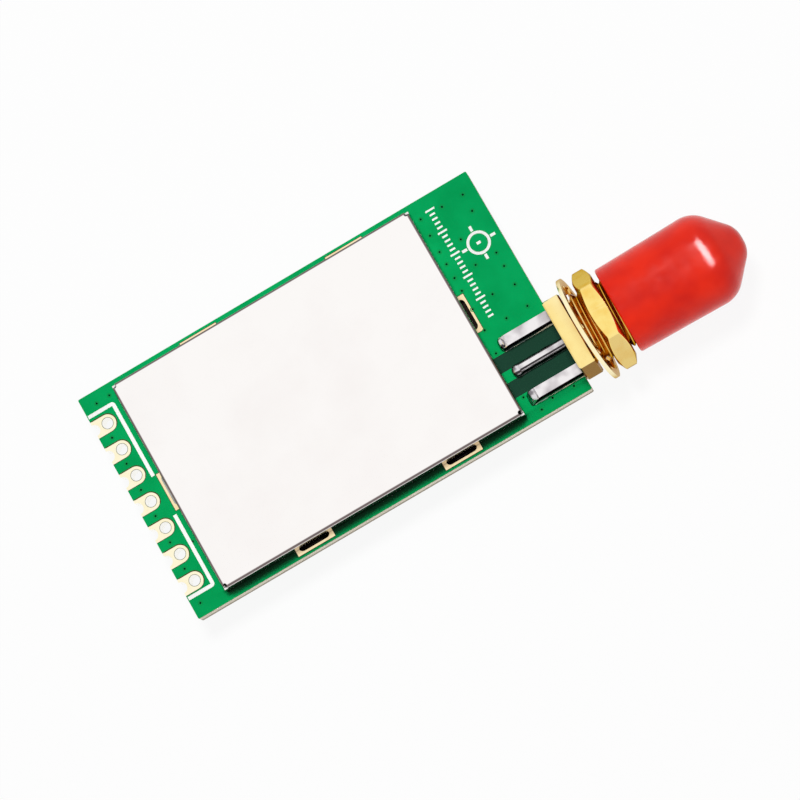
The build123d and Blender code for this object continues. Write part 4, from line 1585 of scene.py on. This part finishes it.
@dataclass
class Studio:
    """A pale floor, a white surround, soft lamps and the photograph's camera.

    Attributes:
        eye: where the camera stands.
        aim: what it and the lamps face.
        roll: how far the camera is turned about its view.
        lens: its focal length in millimetres.
        floor_half: half the floor's side.
        floor_gap: how far the floor lies under the module.
        floor_colour: the floor as it takes light.
        floor_white: how far the floor is plain white to the eye.
        ambient: the level of the plain light from all round.
        lamps: the lamps that light all things and show in none.
        nose_lamp: the lamp that shows as a highlight on the dust cap alone.
    """

    eye: Point3 = (43.95 * MM, -72.75 * MM, 340.35 * MM)
    aim: Point3 = (22.17 * MM, -3.29 * MM, 1.6 * MM)
    roll: float = radians(-47.5)
    lens: float = 189.0
    floor_half: float = 4.0
    floor_gap: float = 0.02 * MM
    floor_colour: Colour = (0.8, 0.8, 0.8)
    floor_white: float = 0.92
    ambient: float = 0.2
    lamps: tuple[Lamp, ...] = (
        Lamp("key_lamp", (0.06, 0.16, 0.55), (0.13, 0.13), 2.7),
        Lamp("side_lamp", (0.05, -0.5, 0.02), (0.2, 0.05), 0.9),
    )
    nose_lamp: Lamp = Lamp("nose_lamp", (0.088, 0.005, 0.096), (0.13, 0.042), 0.8)

    @staticmethod
    def direct_ray(nodes: Nodes) -> Socket:
        """1 for what the camera, a mirror or glass sees, and 0 for light that falls on things."""
        path = nodes.node("ShaderNodeLightPath").outputs
        seen = nodes.math("MAXIMUM", path["Is Camera Ray"], path["Is Glossy Ray"])
        return nodes.math("MAXIMUM", seen, path["Is Transmission Ray"])

    def floor(self) -> None:
        """A pale floor that keeps the module's shadow."""
        z = cad_box[0].z - self.floor_gap
        half = self.floor_half
        mesh = bpy.data.meshes.new("floor")
        corners = [(-half, -half, z), (half, -half, z), (half, half, z), (-half, half, z)]
        mesh.from_pydata(corners, [], [(0, 1, 2, 3)])
        material = bpy.data.materials.new("pale_floor")
        material.use_nodes = True
        material.node_tree.nodes.clear()
        nodes = Nodes(material.node_tree)
        matt = nodes.first("ShaderNodeBsdfDiffuse", Color=self.floor_colour)
        glow = nodes.first("ShaderNodeEmission", Color=WHITE)
        share = nodes.math("MULTIPLY", self.direct_ray(nodes), self.floor_white)
        both = nodes.first("ShaderNodeMixShader", None, share, matt, glow)
        nodes.node("ShaderNodeOutputMaterial", Surface=both)
        mesh.materials.append(material)
        floor = Workshop.place("floor", mesh)

    def surround(self) -> None:
        """White to the eye and in mirrors, and a plain level of light on things."""
        world = bpy.data.worlds.new("surround")
        bpy.context.scene.world = world
        world.use_nodes = True
        nodes = Nodes(world.node_tree)
        background = nodes.tree.nodes["Background"]
        nodes.feed(background.inputs["Color"], WHITE)
        nodes.feed(
            background.inputs["Strength"], nodes.span(self.direct_ray(nodes), 0.0, 1.0, self.ambient, 1.0)
        )

    def stand(self, name: str, data: bpy.types.ID, place: Point3) -> bpy.types.Object:
        """Puts a lamp or the camera at a place, facing the module."""
        made = Workshop.place(name, data)
        made.location = place
        made.rotation_mode = "QUATERNION"
        made.rotation_quaternion = (Vector(self.aim) - Vector(place)).to_track_quat("-Z", "Y")
        return made

    def hang(self, lamp: Lamp, shown_by: bpy.types.Object | None = None) -> None:
        """Hangs a lamp.

        Args:
            lamp: the lamp.
            shown_by: the one piece that shows it as a highlight. Without it, the lamp lights all things and
                shows in none.
        """
        light = bpy.data.lights.new(lamp.name, "AREA")
        light.shape = "RECTANGLE"
        light.size, light.size_y = lamp.size
        light.energy = lamp.power
        hung = self.stand(lamp.name, light, lamp.place)
        hung.visible_camera = False
        hung.visible_glossy = shown_by is not None
        hung.visible_diffuse = shown_by is None
        if shown_by:
            lit = bpy.data.collections.new(f"{lamp.name}_shown_by")
            lit.objects.link(shown_by)
            hung.light_linking.receiver_collection = lit

    def camera(self) -> None:
        """The camera at the photograph's angle."""
        data = bpy.data.cameras.new("camera")
        data.lens = self.lens
        data.sensor_width = 36.0
        data.clip_start, data.clip_end = 0.01, 20.0
        camera = self.stand("camera", data, self.eye)
        camera.rotation_quaternion @= Quaternion((0.0, 0.0, 1.0), self.roll)
        bpy.context.scene.camera = camera

    def build(self, cap: bpy.types.Object) -> None:
        """Sets up floor, surround, lamps and camera.

        Args:
            cap: the dust cap, which alone shows the lamp over its nose.
        """
        bpy.context.scene.view_settings.view_transform = "Standard"
        self.floor()
        self.surround()
        for lamp in self.lamps:
            self.hang(lamp)
        self.hang(self.nose_lamp, cap)
        self.camera()


def main() -> None:
    """Builds the module and its studio."""
    logging.basicConfig(level=logging.INFO, format="%(name)s: %(message)s")
    cap_low, cap_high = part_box("dust_cap")
    axis = Axis((cap_low.y + cap_high.y) / 2, (cap_low.z + cap_high.z) / 2)
    Board().build()
    ShieldCan().build()
    AerialConnector(axis).build()
    SolderJoints(axis).build()
    LockWasher().build()
    HexNut(axis).build()
    cap = DustCap(axis).build()
    Chips().build()
    Studio().build(cap)


if __name__ == "__main__":
    main()
